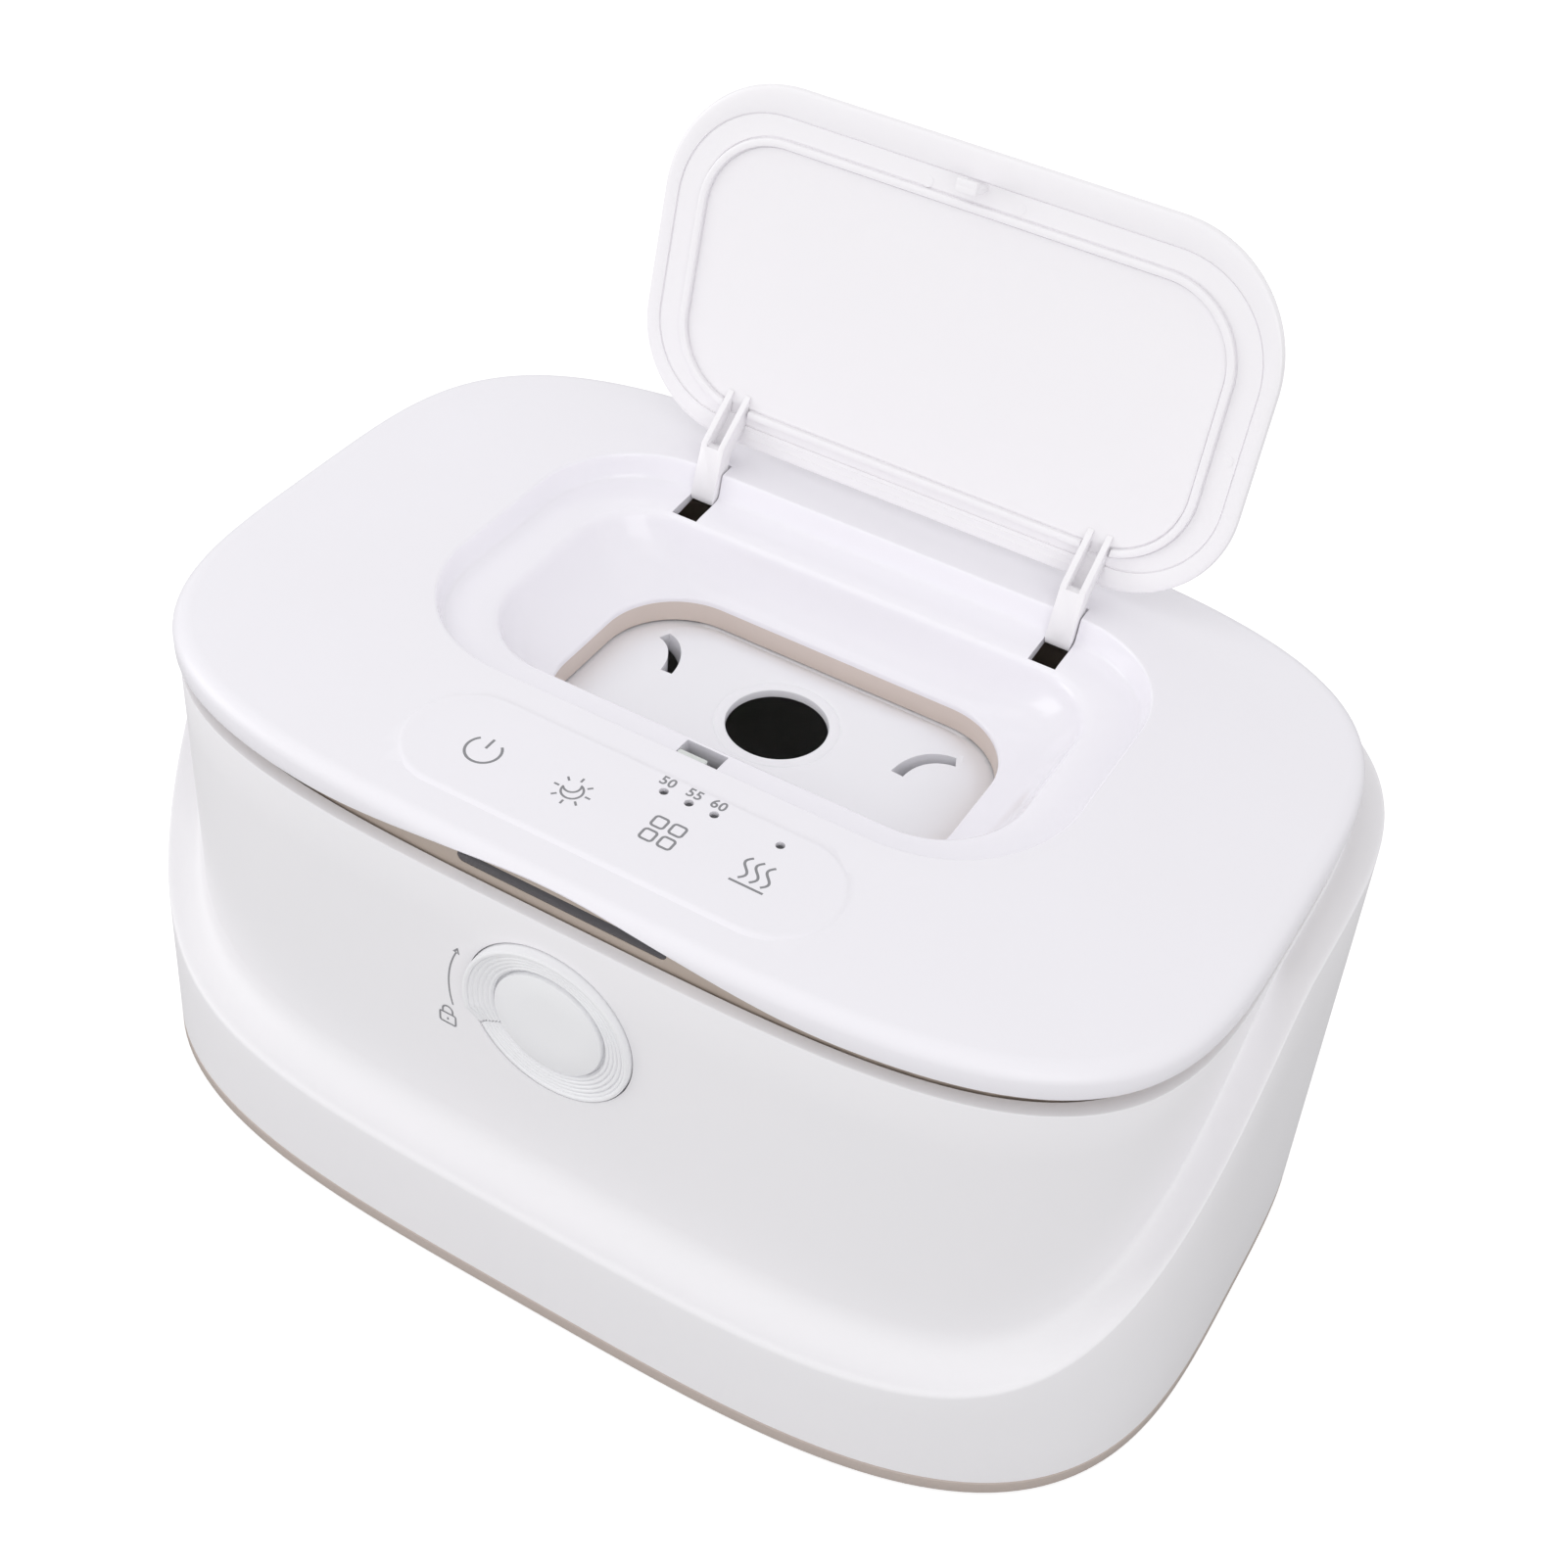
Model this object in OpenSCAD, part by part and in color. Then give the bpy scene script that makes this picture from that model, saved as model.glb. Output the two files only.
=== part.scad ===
// Baby wipe warmer: a heated tub in a moulded body, with a locking lid, a pop-up
// dispensing flap and a pressure plate. Origin on the floor under the centre of the
// body, +X to the right, +Y to the back, +Z up, front with the knob towards -Y.

/* [Body] */
// Width of the body at its base
base_w = 242; // [228:1:292]
// Depth of the body at its base
base_d = 166; // [158:1:200]
// Squareness of the base outline, where 2 is an ellipse
base_n = 3.57; // [3:0.01:4.5]
// Width of the body rim under the lid
rim_w = 222; // [216:1:224]
// Depth of the body rim under the lid
rim_d = 142.8; // [140:0.2:148]
// Squareness of the rim outline
rim_n = 3.82; // [3:0.01:4.5]
// Height of the body rim above the floor
rim_z = 100.9; // [96:0.1:125]
// Draft of the outer skirt wall in degrees
skirt_draft = 2.05; // [0:0.05:3]
// Draft of the upright wall above the skirt in degrees
wall_draft = 1.2; // [0:0.1:2]
// Height of the skirt's crease at the front
crease_z = 28.8; // [22:0.1:45]
// Depth over which the crease climbs to the rim, from the front
crease_run = 78; // [50:1:110]
// Step from the rim down to the ledge at the sides and back
ledge_drop = 1.1; // [0.8:0.1:3]
// Height of the hollow flare above the crease at the front
flare_h = 8.5; // [5:0.1:12]
// Wall thickness of the housing
wall = 2.6; // [2:0.1:3.5]

/* [Base] */
// Gap under the base plate, the height by which the feet stand proud
foot_proud = 0.8; // [0.4:0.1:3]
// Height of the base plate's visible band
band_h = 3.5; // [2.5:0.1:6]
// Thickness of the base plate's floor
base_t = 2.4; // [2:0.1:3]
// Diameter of a rubber foot
foot_d = 14; // [10:1:20]
// Distance between the feet across the body
foot_x = 170; // [120:1:184]
// Distance between the feet front to back
foot_y = 84; // [60:1:92]
// Height of the locating wall inside the housing
locate_h = 4; // [2:0.5:6]

/* [Tank] */
// Inside width of the tank
tank_w = 204; // [190:1:206]
// Inside depth of the tank
tank_d = 117; // [100:1:118]
// Thickness of the tank's walls and floor
tank_t = 2; // [1.5:0.1:2.5]
// Squareness of the tank's outline
tank_n = 4.6; // [3.5:0.1:6]
// Height of the underside of the tank's floor
tank_z = 24; // [23:0.5:34]
// Depth of the seat for the tank's flange under the rim
seat_drop = 7.9; // [7:0.1:10]
// Thickness of the wet sponge mat on the tank's floor
mat_t = 3; // [2:0.5:6]

/* [Heater] */
// Width of the heater plate
heater_w = 176; // [120:1:186]
// Depth of the heater plate
heater_d = 96; // [60:1:100]
// Thickness of the aluminium heater plate
heater_t = 1.5; // [1:0.1:2.5]
// Thickness of the insulation under the heating film
insulation_t = 4; // [3:0.5:5]

/* [Lid] */
// Width of the lid
lid_w = 222.8; // [222.6:0.1:228]
// Depth of the lid
lid_d = 144; // [143.6:0.1:150]
// Height of the lid's lower edge above the rim
lid_gap = 4.7; // [4.2:0.1:6]
// Height of the lid's top above its lower edge
lid_h = 7.2; // [6.4:0.1:10]
// Rounding of the lid's upper edge
lid_roll = 3.4; // [2.5:0.1:4.5]
// Rise of the lid's lower edge at the middle of the front, for a finger
arch_h = 4.9; // [0:0.1:5]
// Width of that rise
arch_w = 116; // [60:1:140]
// Thickness of the lid's skin
skin = 2.2; // [1.8:0.1:2.6]

/* [Bowl and opening] */
// Width of the bowl in the lid
bowl_w = 137; // [130:1:142]
// Depth of the bowl front to back
bowl_d = 78.7; // [74:0.1:82]
// Corner radius of the bowl at the back
bowl_rb = 23.9; // [16:0.1:28]
// Corner radius of the bowl at the front
bowl_rf = 27.8; // [16:0.1:32]
// Distance of the bowl's centre behind the body's centre
bowl_y = 8.2; // [6:0.1:10]
// Depth of the ledge under the lid's top
ledge_z = 5.9; // [5:0.1:7]
// Width of the ledge
ledge_w = 8.8; // [6:0.1:10]
// Width of the dispensing opening
open_w = 89; // [70:1:94]
// Depth of the dispensing opening front to back
open_d = 50.1; // [40:0.1:54]
// Corner radius of the opening
open_r = 17.2; // [10:0.1:20]
// Distance of the opening's centre behind the body's centre
open_y = 5.4; // [3:0.1:8]
// Depth of the bowl from the lid's top to the opening
bowl_h = 20.2; // [18:0.1:21]

/* [Flap] */
// Gap between the closed flap and the bowl at the sides
flap_gap = 0.9; // [0.6:0.1:1.5]
// Gap at the flap's hinge edge
flap_gap_y = 1.6; // [1.4:0.1:2.4]
// Thickness of the flap
flap_t = 3; // [2.6:0.1:4]
// Angle that the flap stands open
flap_open = 103; // [90:1:108]
// Distance of the flap's hinge axis behind the bowl's back edge
flap_axis_y = 5.5; // [5:0.1:7]
// Depth of the flap's hinge axis under the lid's top
flap_axis_drop = 3.8; // [3.6:0.1:4.4]
// Distance of each hinge arm from the middle
arm_x = 42; // [34:1:44]
// Width of a hinge arm
arm_w = 6.4; // [5:0.1:8]
// Radius of the flap's hinge pins
flap_pin_r = 0.9; // [0.7:0.05:1]
// Width of the catch that holds the flap
catch_w = 6.2; // [5:0.1:9]
// Length of the catch front to back
catch_l = 2.4; // [2.2:0.1:3]
// Room left open beside the catch
catch_room = 2.2; // [1:0.1:4]

/* [Lid liner] */
// Height of the opening ring under the bowl
ring_h = 4.8; // [4:0.1:6]
// Thickness of the liner's walls
liner_t = 1.8; // [1.4:0.1:2.4]
// Length of the night light window
window_w = 44; // [30:1:60]
// Height of the night light window
window_h = 2.6; // [2:0.1:3.4]

/* [Lid hinge] */
// Distance of each lid hinge from the middle
hinge_x = 53.2; // [40:0.1:60]
// Height of the lid's hinge axis above the rim
hinge_up = 2.3; // [2.2:0.1:2.6]
// Radius of the hinge knuckles
knuckle_r = 2; // [1.8:0.1:2.1]
// Radius of the lid's hinge pins
lid_pin_r = 0.9; // [0.7:0.05:1]
// Length of the lid's middle knuckle
knuckle_l = 12; // [8:1:18]
// Length of each knuckle on the housing
lug_l = 5; // [3:1:8]

/* [Knob and latch] */
// Distance of the knob's centre below the rim
knob_drop = 24.9; // [23:0.1:30]
// Radius of the knob
knob_r = 18; // [15:0.5:20]
// Radius of the knob's cap
cap_r = 11.8; // [9:0.1:13]
// Height of the knob's spiral rim at its highest
knob_h = 2.4; // [1.5:0.1:4]
// Number of stepped grooves on the knob
knob_steps = 4; // [2:1:6]
// Angle of the knob's radial step, seen from the front
knob_step_a = 210; // [180:1:240]
// Module of the pinion and its rack
gear_m = 1; // [0.8:0.1:1.1]
// Number of teeth on the pinion
pinion_n = 16; // [14:1:18]

/* [Press plate] */
// Gap between the press plate and the tank's wall
press_gap = 4.3; // [4:0.1:8]
// Thickness of the press plate
press_t = 1.8; // [1.4:0.1:2.4]
// Rise of the plate's dome in the opening
dome_h = 4; // [0:0.1:4.4]
// Radius of the dispensing hole
hole_r = 10.4; // [7:0.1:12]
// Distance of the hole behind the body's centre
hole_y = 7.3; // [4:0.1:9]
// Distance of the centre of each grip slot's arc from the middle
grip_x = 39.7; // [34:0.1:42]
// Radius of the grip slots' arc
grip_r = 12.7; // [9:0.1:15]
// Width of a grip slot
grip_w = 2.6; // [2:0.1:4]

/* [Clearances] */
// Radial clearance of a pin or shaft
pin_gap = 0.05; // [0.02:0.01:0.1]
// Gap between parts that only pass each other
gap = 0.3; // [0.2:0.05:0.5]
// Gap around the lid's collar in the rim
collar_gap = 0.5; // [0.4:0.1:1]
// Gap around the lid's plug in the tank
plug_gap = 1.4; // [1.2:0.1:2]

/* [Hidden] */

// Points round an outline of the large shells, and round the smaller ones
n_out = 72;
n_in = 48;
// Points on each quarter corner of the bowl and flap outlines
n_corner = 15;

seat_z = rim_z - seat_drop;
knob_z = rim_z - knob_drop;
press_w = tank_w - 2 * press_gap;
press_d = tank_d - 2 * press_gap;
band_z = foot_proud + band_h;
ledge_top = rim_z - ledge_drop;
lid_low = rim_z + lid_gap;
lid_top = lid_low + lid_h;
axis_y = bowl_y + bowl_d / 2 + flap_axis_y;
axis_z = lid_top - flap_axis_drop;
hinge_y = lid_d / 2 - knuckle_r - gap;
hinge_z = rim_z + hinge_up;
open_z = lid_top - bowl_h;
ring_z = open_z - ring_h;
collar_w = rim_w - 2 * (wall + collar_gap);
collar_d = rim_d - 2 * (wall + collar_gap);
flange_t = 2;
lid_under = lid_top - skin - 0.2;
flange_z = seat_z + flange_t;
liner_z = flange_z + gap + 0.1;
plate_z = ring_z + 0.6;
face_y = -(rim_d / 2 + (rim_z - knob_z) * tan(wall_draft));
wall_in_y = face_y + wall;

// Helpers for outlines
// A squared ellipse: the point at angle t on an outline of half sizes a and b
function squircle(t, a, b, n) =
    let (c = cos(t), s = sin(t), k = pow(pow(abs(c), n) + pow(abs(s), n), -1 / n)) [a * c * k, b * s * k];
function ring(a, b, n, count) = [for (i = [0:count - 1]) squircle(360 * i / count, a, b, n)];
// A rounded rectangle with its own radii at the back and front
function rrect(a, b, rb, rf, y = 0, count = n_corner) = [
    for (q = [0:3], k = [0:count - 1])
        let (r = q < 2 ? rb : rf, t = 90 * q + 90 * k / (count - 1),
             sx = (q == 0 || q == 3) ? 1 : -1, sy = q < 2 ? 1 : -1)
        [sx * (a - r) + r * cos(t), y + sy * (b - r) + r * sin(t)]];
function smooth(t) = let (u = max(0, min(1, t))) u * u * (3 - 2 * u);
function mix(a, b, t) = a + (b - a) * t;
function lift(points, z) = [for (p = points) [p[0], p[1], z]];

// The two triangles between point j of rings i and k, of n points each
function quad(i, k, j, n) =
    let (a = i * n + j, b = i * n + (j + 1) % n, c = k * n + j, d = k * n + (j + 1) % n)
    [[a, c, b], [b, c, d]];

// A closed band of rings, each joined to the next and the last to the first
module band_of(rings) {
    n = len(rings[0]);
    m = len(rings);
    polyhedron(points = [for (r = rings) each r],
        faces = [for (i = [0:m - 1], j = [0:n - 1]) each quad(i, (i + 1) % m, j, n)]);
}

// A solid skin over a stack of rings, closed flat at both ends, lowest ring first
module skin_of(rings) {
    n = len(rings[0]);
    m = len(rings);
    polyhedron(points = [for (r = rings) each r],
        faces = concat([[for (j = [0:n - 1]) j]], [[for (j = [n - 1:-1:0]) (m - 1) * n + j]],
            [for (i = [0:m - 2], j = [0:n - 1]) each quad(i, i + 1, j, n)]));
}

module slab(points, z, h) translate([0, 0, z]) linear_extrude(h) polygon(points);
module tube_of(outer, inner, z, h) translate([0, 0, z]) linear_extrude(h) difference() {
    polygon(outer);
    polygon(inner);
}
// A rod of length l along X, and one along Y from y0 to y1
module rod_x(r, l, y, z, x = 0) translate([x - l / 2, y, z]) rotate([0, 90, 0])
    cylinder(r = r, h = l, $fn = 48);
module rod_y(r, y0, y1, x, z) translate([x, y0, z]) rotate([-90, 0, 0])
    cylinder(r = r, h = y1 - y0, $fn = 64);
module both() for (s = [0, 1]) mirror([s, 0, 0]) children();
module corners(x, y) for (sx = [-1, 1], sy = [-1, 1])
    translate([sx * x / 2, sy * y / 2, 0]) children();

// Outer outlines of the body at a height
function skirt_a(z) = base_w / 2 - max(0, z - foot_proud) * tan(skirt_draft);
function skirt_b(z) = base_d / 2 - max(0, z - foot_proud) * tan(skirt_draft);
function wall_a(z) = rim_w / 2 + (rim_z - z) * tan(wall_draft);
function wall_b(z) = rim_d / 2 + (rim_z - z) * tan(wall_draft);

// Base plate: a band round a thin floor, the wall that locates it in the housing, and board posts
screw_x = 176;
screw_y = 116;
screw_r = 1.3;
head_r = 2.9;
head_sink = 1.2;
board_w = 120;
board_d = 70;
board_rise = 6;
board_inset = 10;
board_z = foot_proud + base_t + board_rise;
post_r = 3;
band_in = 6;
locate_t = 1.6;
vents = 9;
vent_pitch = 9;
vent_w = 3;
vent_l = 28;
module base_plate() color("#b9aca6") {
    floor_z = foot_proud + base_t;
    low_a = skirt_a(foot_proud);
    low_b = skirt_b(foot_proud);
    in_a = skirt_a(band_z) - wall - gap;
    in_b = skirt_b(band_z) - wall - gap;
    difference() {
        union() {
            slab(ring(low_a, low_b, base_n, n_out), foot_proud, band_h);
            tube_of(ring(in_a, in_b, base_n, n_out), ring(in_a - locate_t, in_b - locate_t, base_n, n_out),
                band_z - 0.5, locate_h + 0.5);
        }
        slab(ring(low_a - band_in, low_b - band_in, base_n, n_out), floor_z, band_h);
        corners(foot_x, foot_y) translate([0, 0, foot_proud - 1])
            cylinder(d = foot_d + 0.4, h = 1 + foot_sink, $fn = 64);
        corners(screw_x, screw_y) {
            cylinder(r = screw_r + 0.4, h = 20, $fn = 32);
            translate([0, 0, foot_proud - 1]) cylinder(r = head_r + gap, h = 1 + head_sink, $fn = 32);
        }
        for (i = [0:vents - 1]) translate([(i - (vents - 1) / 2) * vent_pitch - vent_w / 2, -vent_l / 2, -1])
            cube([vent_w, vent_l, base_t + 3]);
    }
    corners(board_w - board_inset, board_d - board_inset) translate([0, 0, floor_z])
        cylinder(r = post_r, h = board_rise, $fn = 32);
}

// Rubber feet, pressed into recesses in the base plate
foot_sink = 1.2;
foot_edge = 0.8;
module foot(sx, sy) color("#3a3a3c") translate([sx * foot_x / 2, sy * foot_y / 2, 0])
    rotate_extrude($fn = 64) polygon([[0, 0], [foot_d / 2 - foot_edge, 0], [foot_d / 2, 0.6],
        [foot_d / 2, foot_proud + foot_sink], [0, foot_proud + foot_sink]]);
module foot_front_left() foot(-1, -1);
module foot_front_right() foot(1, -1);
module foot_rear_left() foot(-1, 1);
module foot_rear_right() foot(1, 1);

// Screws that hold the base plate to the housing
module base_screws() color("#8a8c90") corners(screw_x, screw_y) translate([0, 0, foot_proud + 0.2]) {
    cylinder(r = head_r, h = head_sink - 0.2, $fn = 32);
    cylinder(r = screw_r, h = 14, $fn = 32);
}

// Lower housing
// How far round the body the crease has climbed, 0 at the front and 1 at the back
function climb(y) = smooth((y + base_d / 2) / crease_run);
// A point of the skirt or of the upright wall, t inside it, at turn t0 and height z
function on_skirt(t0, z, t = 0) =
    let (p = squircle(t0, skirt_a(z) - t, skirt_b(z) - t, base_n)) [p[0], p[1], z];
function on_wall(t0, z, t = 0) =
    let (p = squircle(t0, wall_a(z) - t, wall_b(z) - t, rim_n)) [p[0], p[1], z];
function blend3(p, q, t) = [mix(p[0], q[0], t), mix(p[1], q[1], t), mix(p[2], q[2], t)];
function toward(p, t) = let (l = norm([p[0], p[1]])) [p[0] * (1 - t / l), p[1] * (1 - t / l), p[2]];
seat_edge = 5.6;
seat_in = seat_edge - wall;
seat_t = 2.2;
boss_r = 3.6;
boss_z = band_z + 0.4;
boss_h = tank_z - gap - boss_z;
rib_t = 1.6;
lug_x = [hinge_x - knuckle_l / 2 - 0.2 - lug_l / 2, hinge_x + knuckle_l / 2 + 0.2 + lug_l / 2];
module lower_housing() {
    turn = [for (i = [0:n_out - 1]) 360 * i / n_out];
    base = ring(skirt_a(band_z), skirt_b(band_z), base_n, n_out);
    s = [for (p = base) climb(p[1])];
    crease = [for (v = s) mix(crease_z, ledge_top, v)];
    flare = [for (v = s) mix(crease_z + flare_h, ledge_top + ledge_drop * 0.45, v)];
    function on_flare(i, f) = let (c = on_skirt(turn[i], crease[i]), w = on_wall(turn[i], flare[i]))
        [mix(c[0], w[0], sin(f)), mix(c[1], w[1], sin(f)), mix(c[2], w[2], 1 - cos(f))];
    function flare_row(f) = [for (i = [0:n_out - 1]) on_flare(i, f)];
    // The inner wall moves out under the ledge where the crease has climbed above it
    wide = [for (v = s) smooth((v - 0.8) / 0.2)];
    in_a = rim_w / 2 - wall;
    in_b = rim_d / 2 - wall;
    function in_row(z, t = 0) = lift(ring(in_a - t, in_b - t, rim_n, n_out), z);
    function in_at(z, i) = blend3(on_wall(turn[i], z, wall), on_skirt(turn[i], z, wall), wide[i]);
    under_ledge = [for (i = [0:n_out - 1])
        let (p = squircle(turn[i], in_a + 0.3, in_b + 0.3, rim_n), q = on_skirt(turn[i], seat_z - 11, wall))
        blend3([p[0], p[1], seat_z - 5], q, wide[i])];
    under_wall = [for (i = [0:n_out - 1]) in_at(min(flare[i] - 0.5, under_ledge[i][2] - 0.6), i)];
    under_flare = [for (i = [0:n_out - 1])
        let (f = toward(on_flare(i, 45), wall * 0.75),
             z = min(f[2] - wall * 0.75, under_wall[i][2] - 0.6),
             p = blend3(f, on_skirt(turn[i], z, wall), wide[i]))
        [p[0], p[1], z]];
    under_skirt = [for (i = [0:n_out - 1])
        on_skirt(turn[i], min(crease[i] - wall, under_flare[i][2] - 0.6), wall)];
    // Length of the rib from a screw boss to the skirt
    rib_a = skirt_a(boss_z + boss_h);
    rib_b = skirt_b(boss_z + boss_h);
    rib_l = rib_a * pow(1 - pow(screw_y / 2 / rib_b, base_n), 1 / base_n) - screw_x / 2 - 1;
    color("#ececee") difference() {
        union() {
            band_of([
                lift(base, band_z),
                [for (i = [0:n_out - 1]) on_skirt(turn[i], crease[i] - 0.5)],
                flare_row(8),
                flare_row(30),
                flare_row(55),
                flare_row(75),
                [for (i = [0:n_out - 1]) on_wall(turn[i], flare[i])],
                [for (t = turn) on_wall(t, rim_z - 0.3)],
                [for (t = turn) let (p = on_wall(t, rim_z - 0.3, 0.4)) [p[0], p[1], rim_z]],
                in_row(rim_z),
                in_row(seat_z),
                in_row(seat_z, seat_in),
                in_row(seat_z - seat_t, seat_in),
                under_ledge,
                under_wall,
                under_flare,
                under_skirt,
                lift(ring(skirt_a(band_z) - wall, skirt_b(band_z) - wall, base_n, n_out), band_z)]);
            // Lugs of the lid's hinge
            both() for (x = lug_x) {
                translate([x - lug_l / 2, rim_d / 2 - wall, rim_z - 4])
                    cube([lug_l, hinge_y + knuckle_r - rim_d / 2 + wall, 4 + hinge_up]);
                rod_x(knuckle_r, lug_l, hinge_y, hinge_z, x);
            }
            // Screw bosses and the ribs that tie them to the skirt
            corners(screw_x, screw_y) translate([0, 0, boss_z]) cylinder(r = boss_r, h = boss_h, $fn = 32);
            both() for (sy = [-1, 1])
                translate([screw_x / 2, (sy * screw_y - rib_t) / 2, band_z + locate_h + gap])
                    cube([rib_l, rib_t, boss_h - locate_h - gap]);
        }
        corners(screw_x, screw_y) cylinder(r = screw_r + pin_gap, h = 18, $fn = 32);
        rod_y(knob_r + gap, face_y - 5, face_y + knob_sink, 0, knob_z);
        rod_y(hub_r + pin_gap, face_y - 5, face_y + 10, 0, knob_z);
        for (x = guide_screw_x) rod_y(guide_screw_r + pin_gap, wall_in_y - 1.5, wall_in_y + 1, x, knob_z);
        translate([jack_x, 0, jack_z]) rotate([-90, 0, 0]) cylinder(r = jack_r + 0.15, h = base_d, $fn = 48);
        rod_x(lid_pin_r + pin_gap, 2 * hinge_x + 40, hinge_y, hinge_z);
        // Relief under the seat for the latch, and the gap in it for the lid's ear
        translate([-guide_w / 2 - 1, -rim_d / 2 + wall - 0.2, knob_z])
            cube([guide_w + 2, 8, seat_z - seat_t - knob_z]);
        translate([ear_x - 2, -rim_d / 2 + wall, seat_z - 5]) cube([ear_t + 4, 8, 10]);
    }
}

// Knob: a ring whose rim winds up round it, stepped down to a cap
hub_r = 6;
knob_sink = 1.2;
knob_web = 0.9;
knob_back = face_y + knob_sink - 0.15;
knob_low = 0.25;
rim_t = 2.6;
knob_sections = 60;
module knob_ring() {
    r_in = cap_r + 0.35;
    r_face = knob_r - rim_t;
    step_r = (r_face - r_in) / knob_steps;
    function step_y(k, h) = face_y - mix(h - 0.5, 0.1, (k + 0.5) / knob_steps);
    // One radial section: the outer rim stands h proud and the steps fall to the cap
    function section(h) = concat(
        [[knob_r, knob_back], [knob_r, face_y - h + 0.5], [knob_r - 0.7, face_y - h],
         [r_face + 0.3, face_y - h + 0.35]],
        [for (k = [0:knob_steps - 1]) each
            let (r = r_face - k * step_r, y = step_y(k, h)) [[r, y - 0.02], [r - step_r + 0.12, y]]],
        [[r_in, face_y + 0.15], [r_in, knob_back]]);
    rows = [for (i = [0:knob_sections])
        let (u = i / knob_sections,
             a = knob_step_a + 360 * (0.002 + 0.996 * u),
             points = section(mix(knob_low, knob_h, u)))
        [for (k = [len(points) - 1:-1:0])
            [points[k][0] * cos(a), points[k][1], knob_z + points[k][0] * sin(a)]]];
    color("#f2f2f4") {
        skin_of(rows);
        rod_y(r_in + 0.2, knob_back - knob_web, knob_back, 0, knob_z);
        rod_y(hub_r, knob_back - 0.5, wall_in_y + 0.4, 0, knob_z);
    }
}
cap_t = knob_back - knob_web - face_y + 0.7;
cap_edge = 0.4;
module knob_cap() color("#ececee") translate([0, knob_back - knob_web, knob_z]) rotate([90, 0, 0])
    rotate_extrude($fn = 72)
    polygon([[0, 0], [cap_r, 0], [cap_r, cap_t - cap_edge], [cap_r - cap_edge, cap_t], [0, cap_t]]);

// Latch: the knob turns a pinion that draws a racked bolt out of the lid's ear
pitch_r = gear_m * pinion_n / 2;
rack_z = knob_z + pitch_r;
shaft_r = 2.6;
guide_y = wall_in_y + 0.6;
guide_t = 1.8;
gear_y = guide_y + guide_t + gap;
gear_w = 3;
bolt_h = 3.6;
// One tooth of a wheel of n teeth, of half widths w0 and w1 at radii r0 and r1
function tooth(i, r0, r1, w0, w1, n) = let (a = 360 * i / n)
    [[r0 * cos(a - w0), r0 * sin(a - w0)], [r1 * cos(a - w1), r1 * sin(a - w1)],
     [r1 * cos(a + w1), r1 * sin(a + w1)], [r0 * cos(a + w0), r0 * sin(a + w0)]];
module latch_pinion() color("#d8d8dc") {
    pitch_a = 360 / pinion_n;
    root_r = pitch_r - 1.15 * gear_m;
    tip_r = pitch_r + 0.85 * gear_m;
    translate([0, gear_y + gear_w, knob_z]) rotate([90, 0, 0]) linear_extrude(gear_w)
        polygon([for (i = [0:pinion_n - 1]) each
            tooth(i + 0.5 + pinion_n / 4, root_r, tip_r, pitch_a * 0.3, pitch_a * 0.11, pinion_n)]);
    rod_y(shaft_r, wall_in_y + 0.4, gear_y + 0.1, 0, knob_z);
}
slider_z0 = rack_z + 1.2 * gear_m;
slider_l = 24;
ear_x = 14;
ear_t = 2.4;
module latch_slider() color("#d8d8dc") {
    p = PI * gear_m;
    root_z = 1.25 * gear_m;
    tip_z = -0.75 * gear_m;
    translate([0, gear_y + gear_w, 0]) rotate([90, 0, 0]) linear_extrude(gear_w) union() {
        translate([-slider_l, slider_z0]) square([slider_l + ear_x - gap, bolt_h]);
        for (i = [-4:1]) translate([i * p, rack_z])
            polygon([[-p * 0.36, root_z], [-p * 0.09, tip_z], [p * 0.09, tip_z], [p * 0.36, root_z]]);
    }
}
// Guide plate behind the wall, with a rail above the bolt and two rests below it
guide_w = 54;
guide_low = 14;
guide_screw_x = [-23, 23];
guide_screw_r = 1.1;
rail_t = 1.4;
lip_t = 1.2;
rest_t = 2;
guide_top = slider_z0 + bolt_h + 0.2 + rail_t;
guide_depth = guide_t + gear_w + 2 * gap;
module latch_guide() color("#ececee") difference() {
    union() {
        translate([-guide_w / 2, guide_y, knob_z - guide_low])
            cube([guide_w, guide_t, guide_top - knob_z + guide_low]);
        translate([-guide_w / 2, guide_y, guide_top - rail_t])
            cube([guide_w / 2 + ear_x - 0.6, guide_depth + lip_t, rail_t]);
        translate([-guide_w / 2, guide_y + guide_depth, guide_top - rail_t - lip_t])
            cube([10, lip_t, lip_t + rail_t]);
        for (rest = [[-guide_w / 2, 12.4], [11.2, 2.2]])
            translate([rest[0], guide_y, slider_z0 - 0.2 - rest_t]) cube([rest[1], guide_depth, rest_t]);
        for (x = guide_screw_x) rod_y(3, wall_in_y + 0.15, guide_y + 0.5, x, knob_z);
    }
    rod_y(shaft_r + pin_gap, guide_y - 1, guide_y + 5, 0, knob_z);
    for (x = guide_screw_x) rod_y(guide_screw_r + pin_gap, wall_in_y - 1, guide_y + 5, x, knob_z);
    // Notch that the lid's ear comes down into
    translate([ear_x - 0.6, guide_y - 1, slider_z0 - 4]) cube([ear_t + 1.8, 10, 20]);
}
module guide_screws() color("#8a8c90") for (x = guide_screw_x) {
    rod_y(2.3, guide_y + guide_t, guide_y + guide_t + 1.2, x, knob_z);
    rod_y(guide_screw_r, wall_in_y - 1.4, guide_y + guide_t + 0.5, x, knob_z);
}

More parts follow.
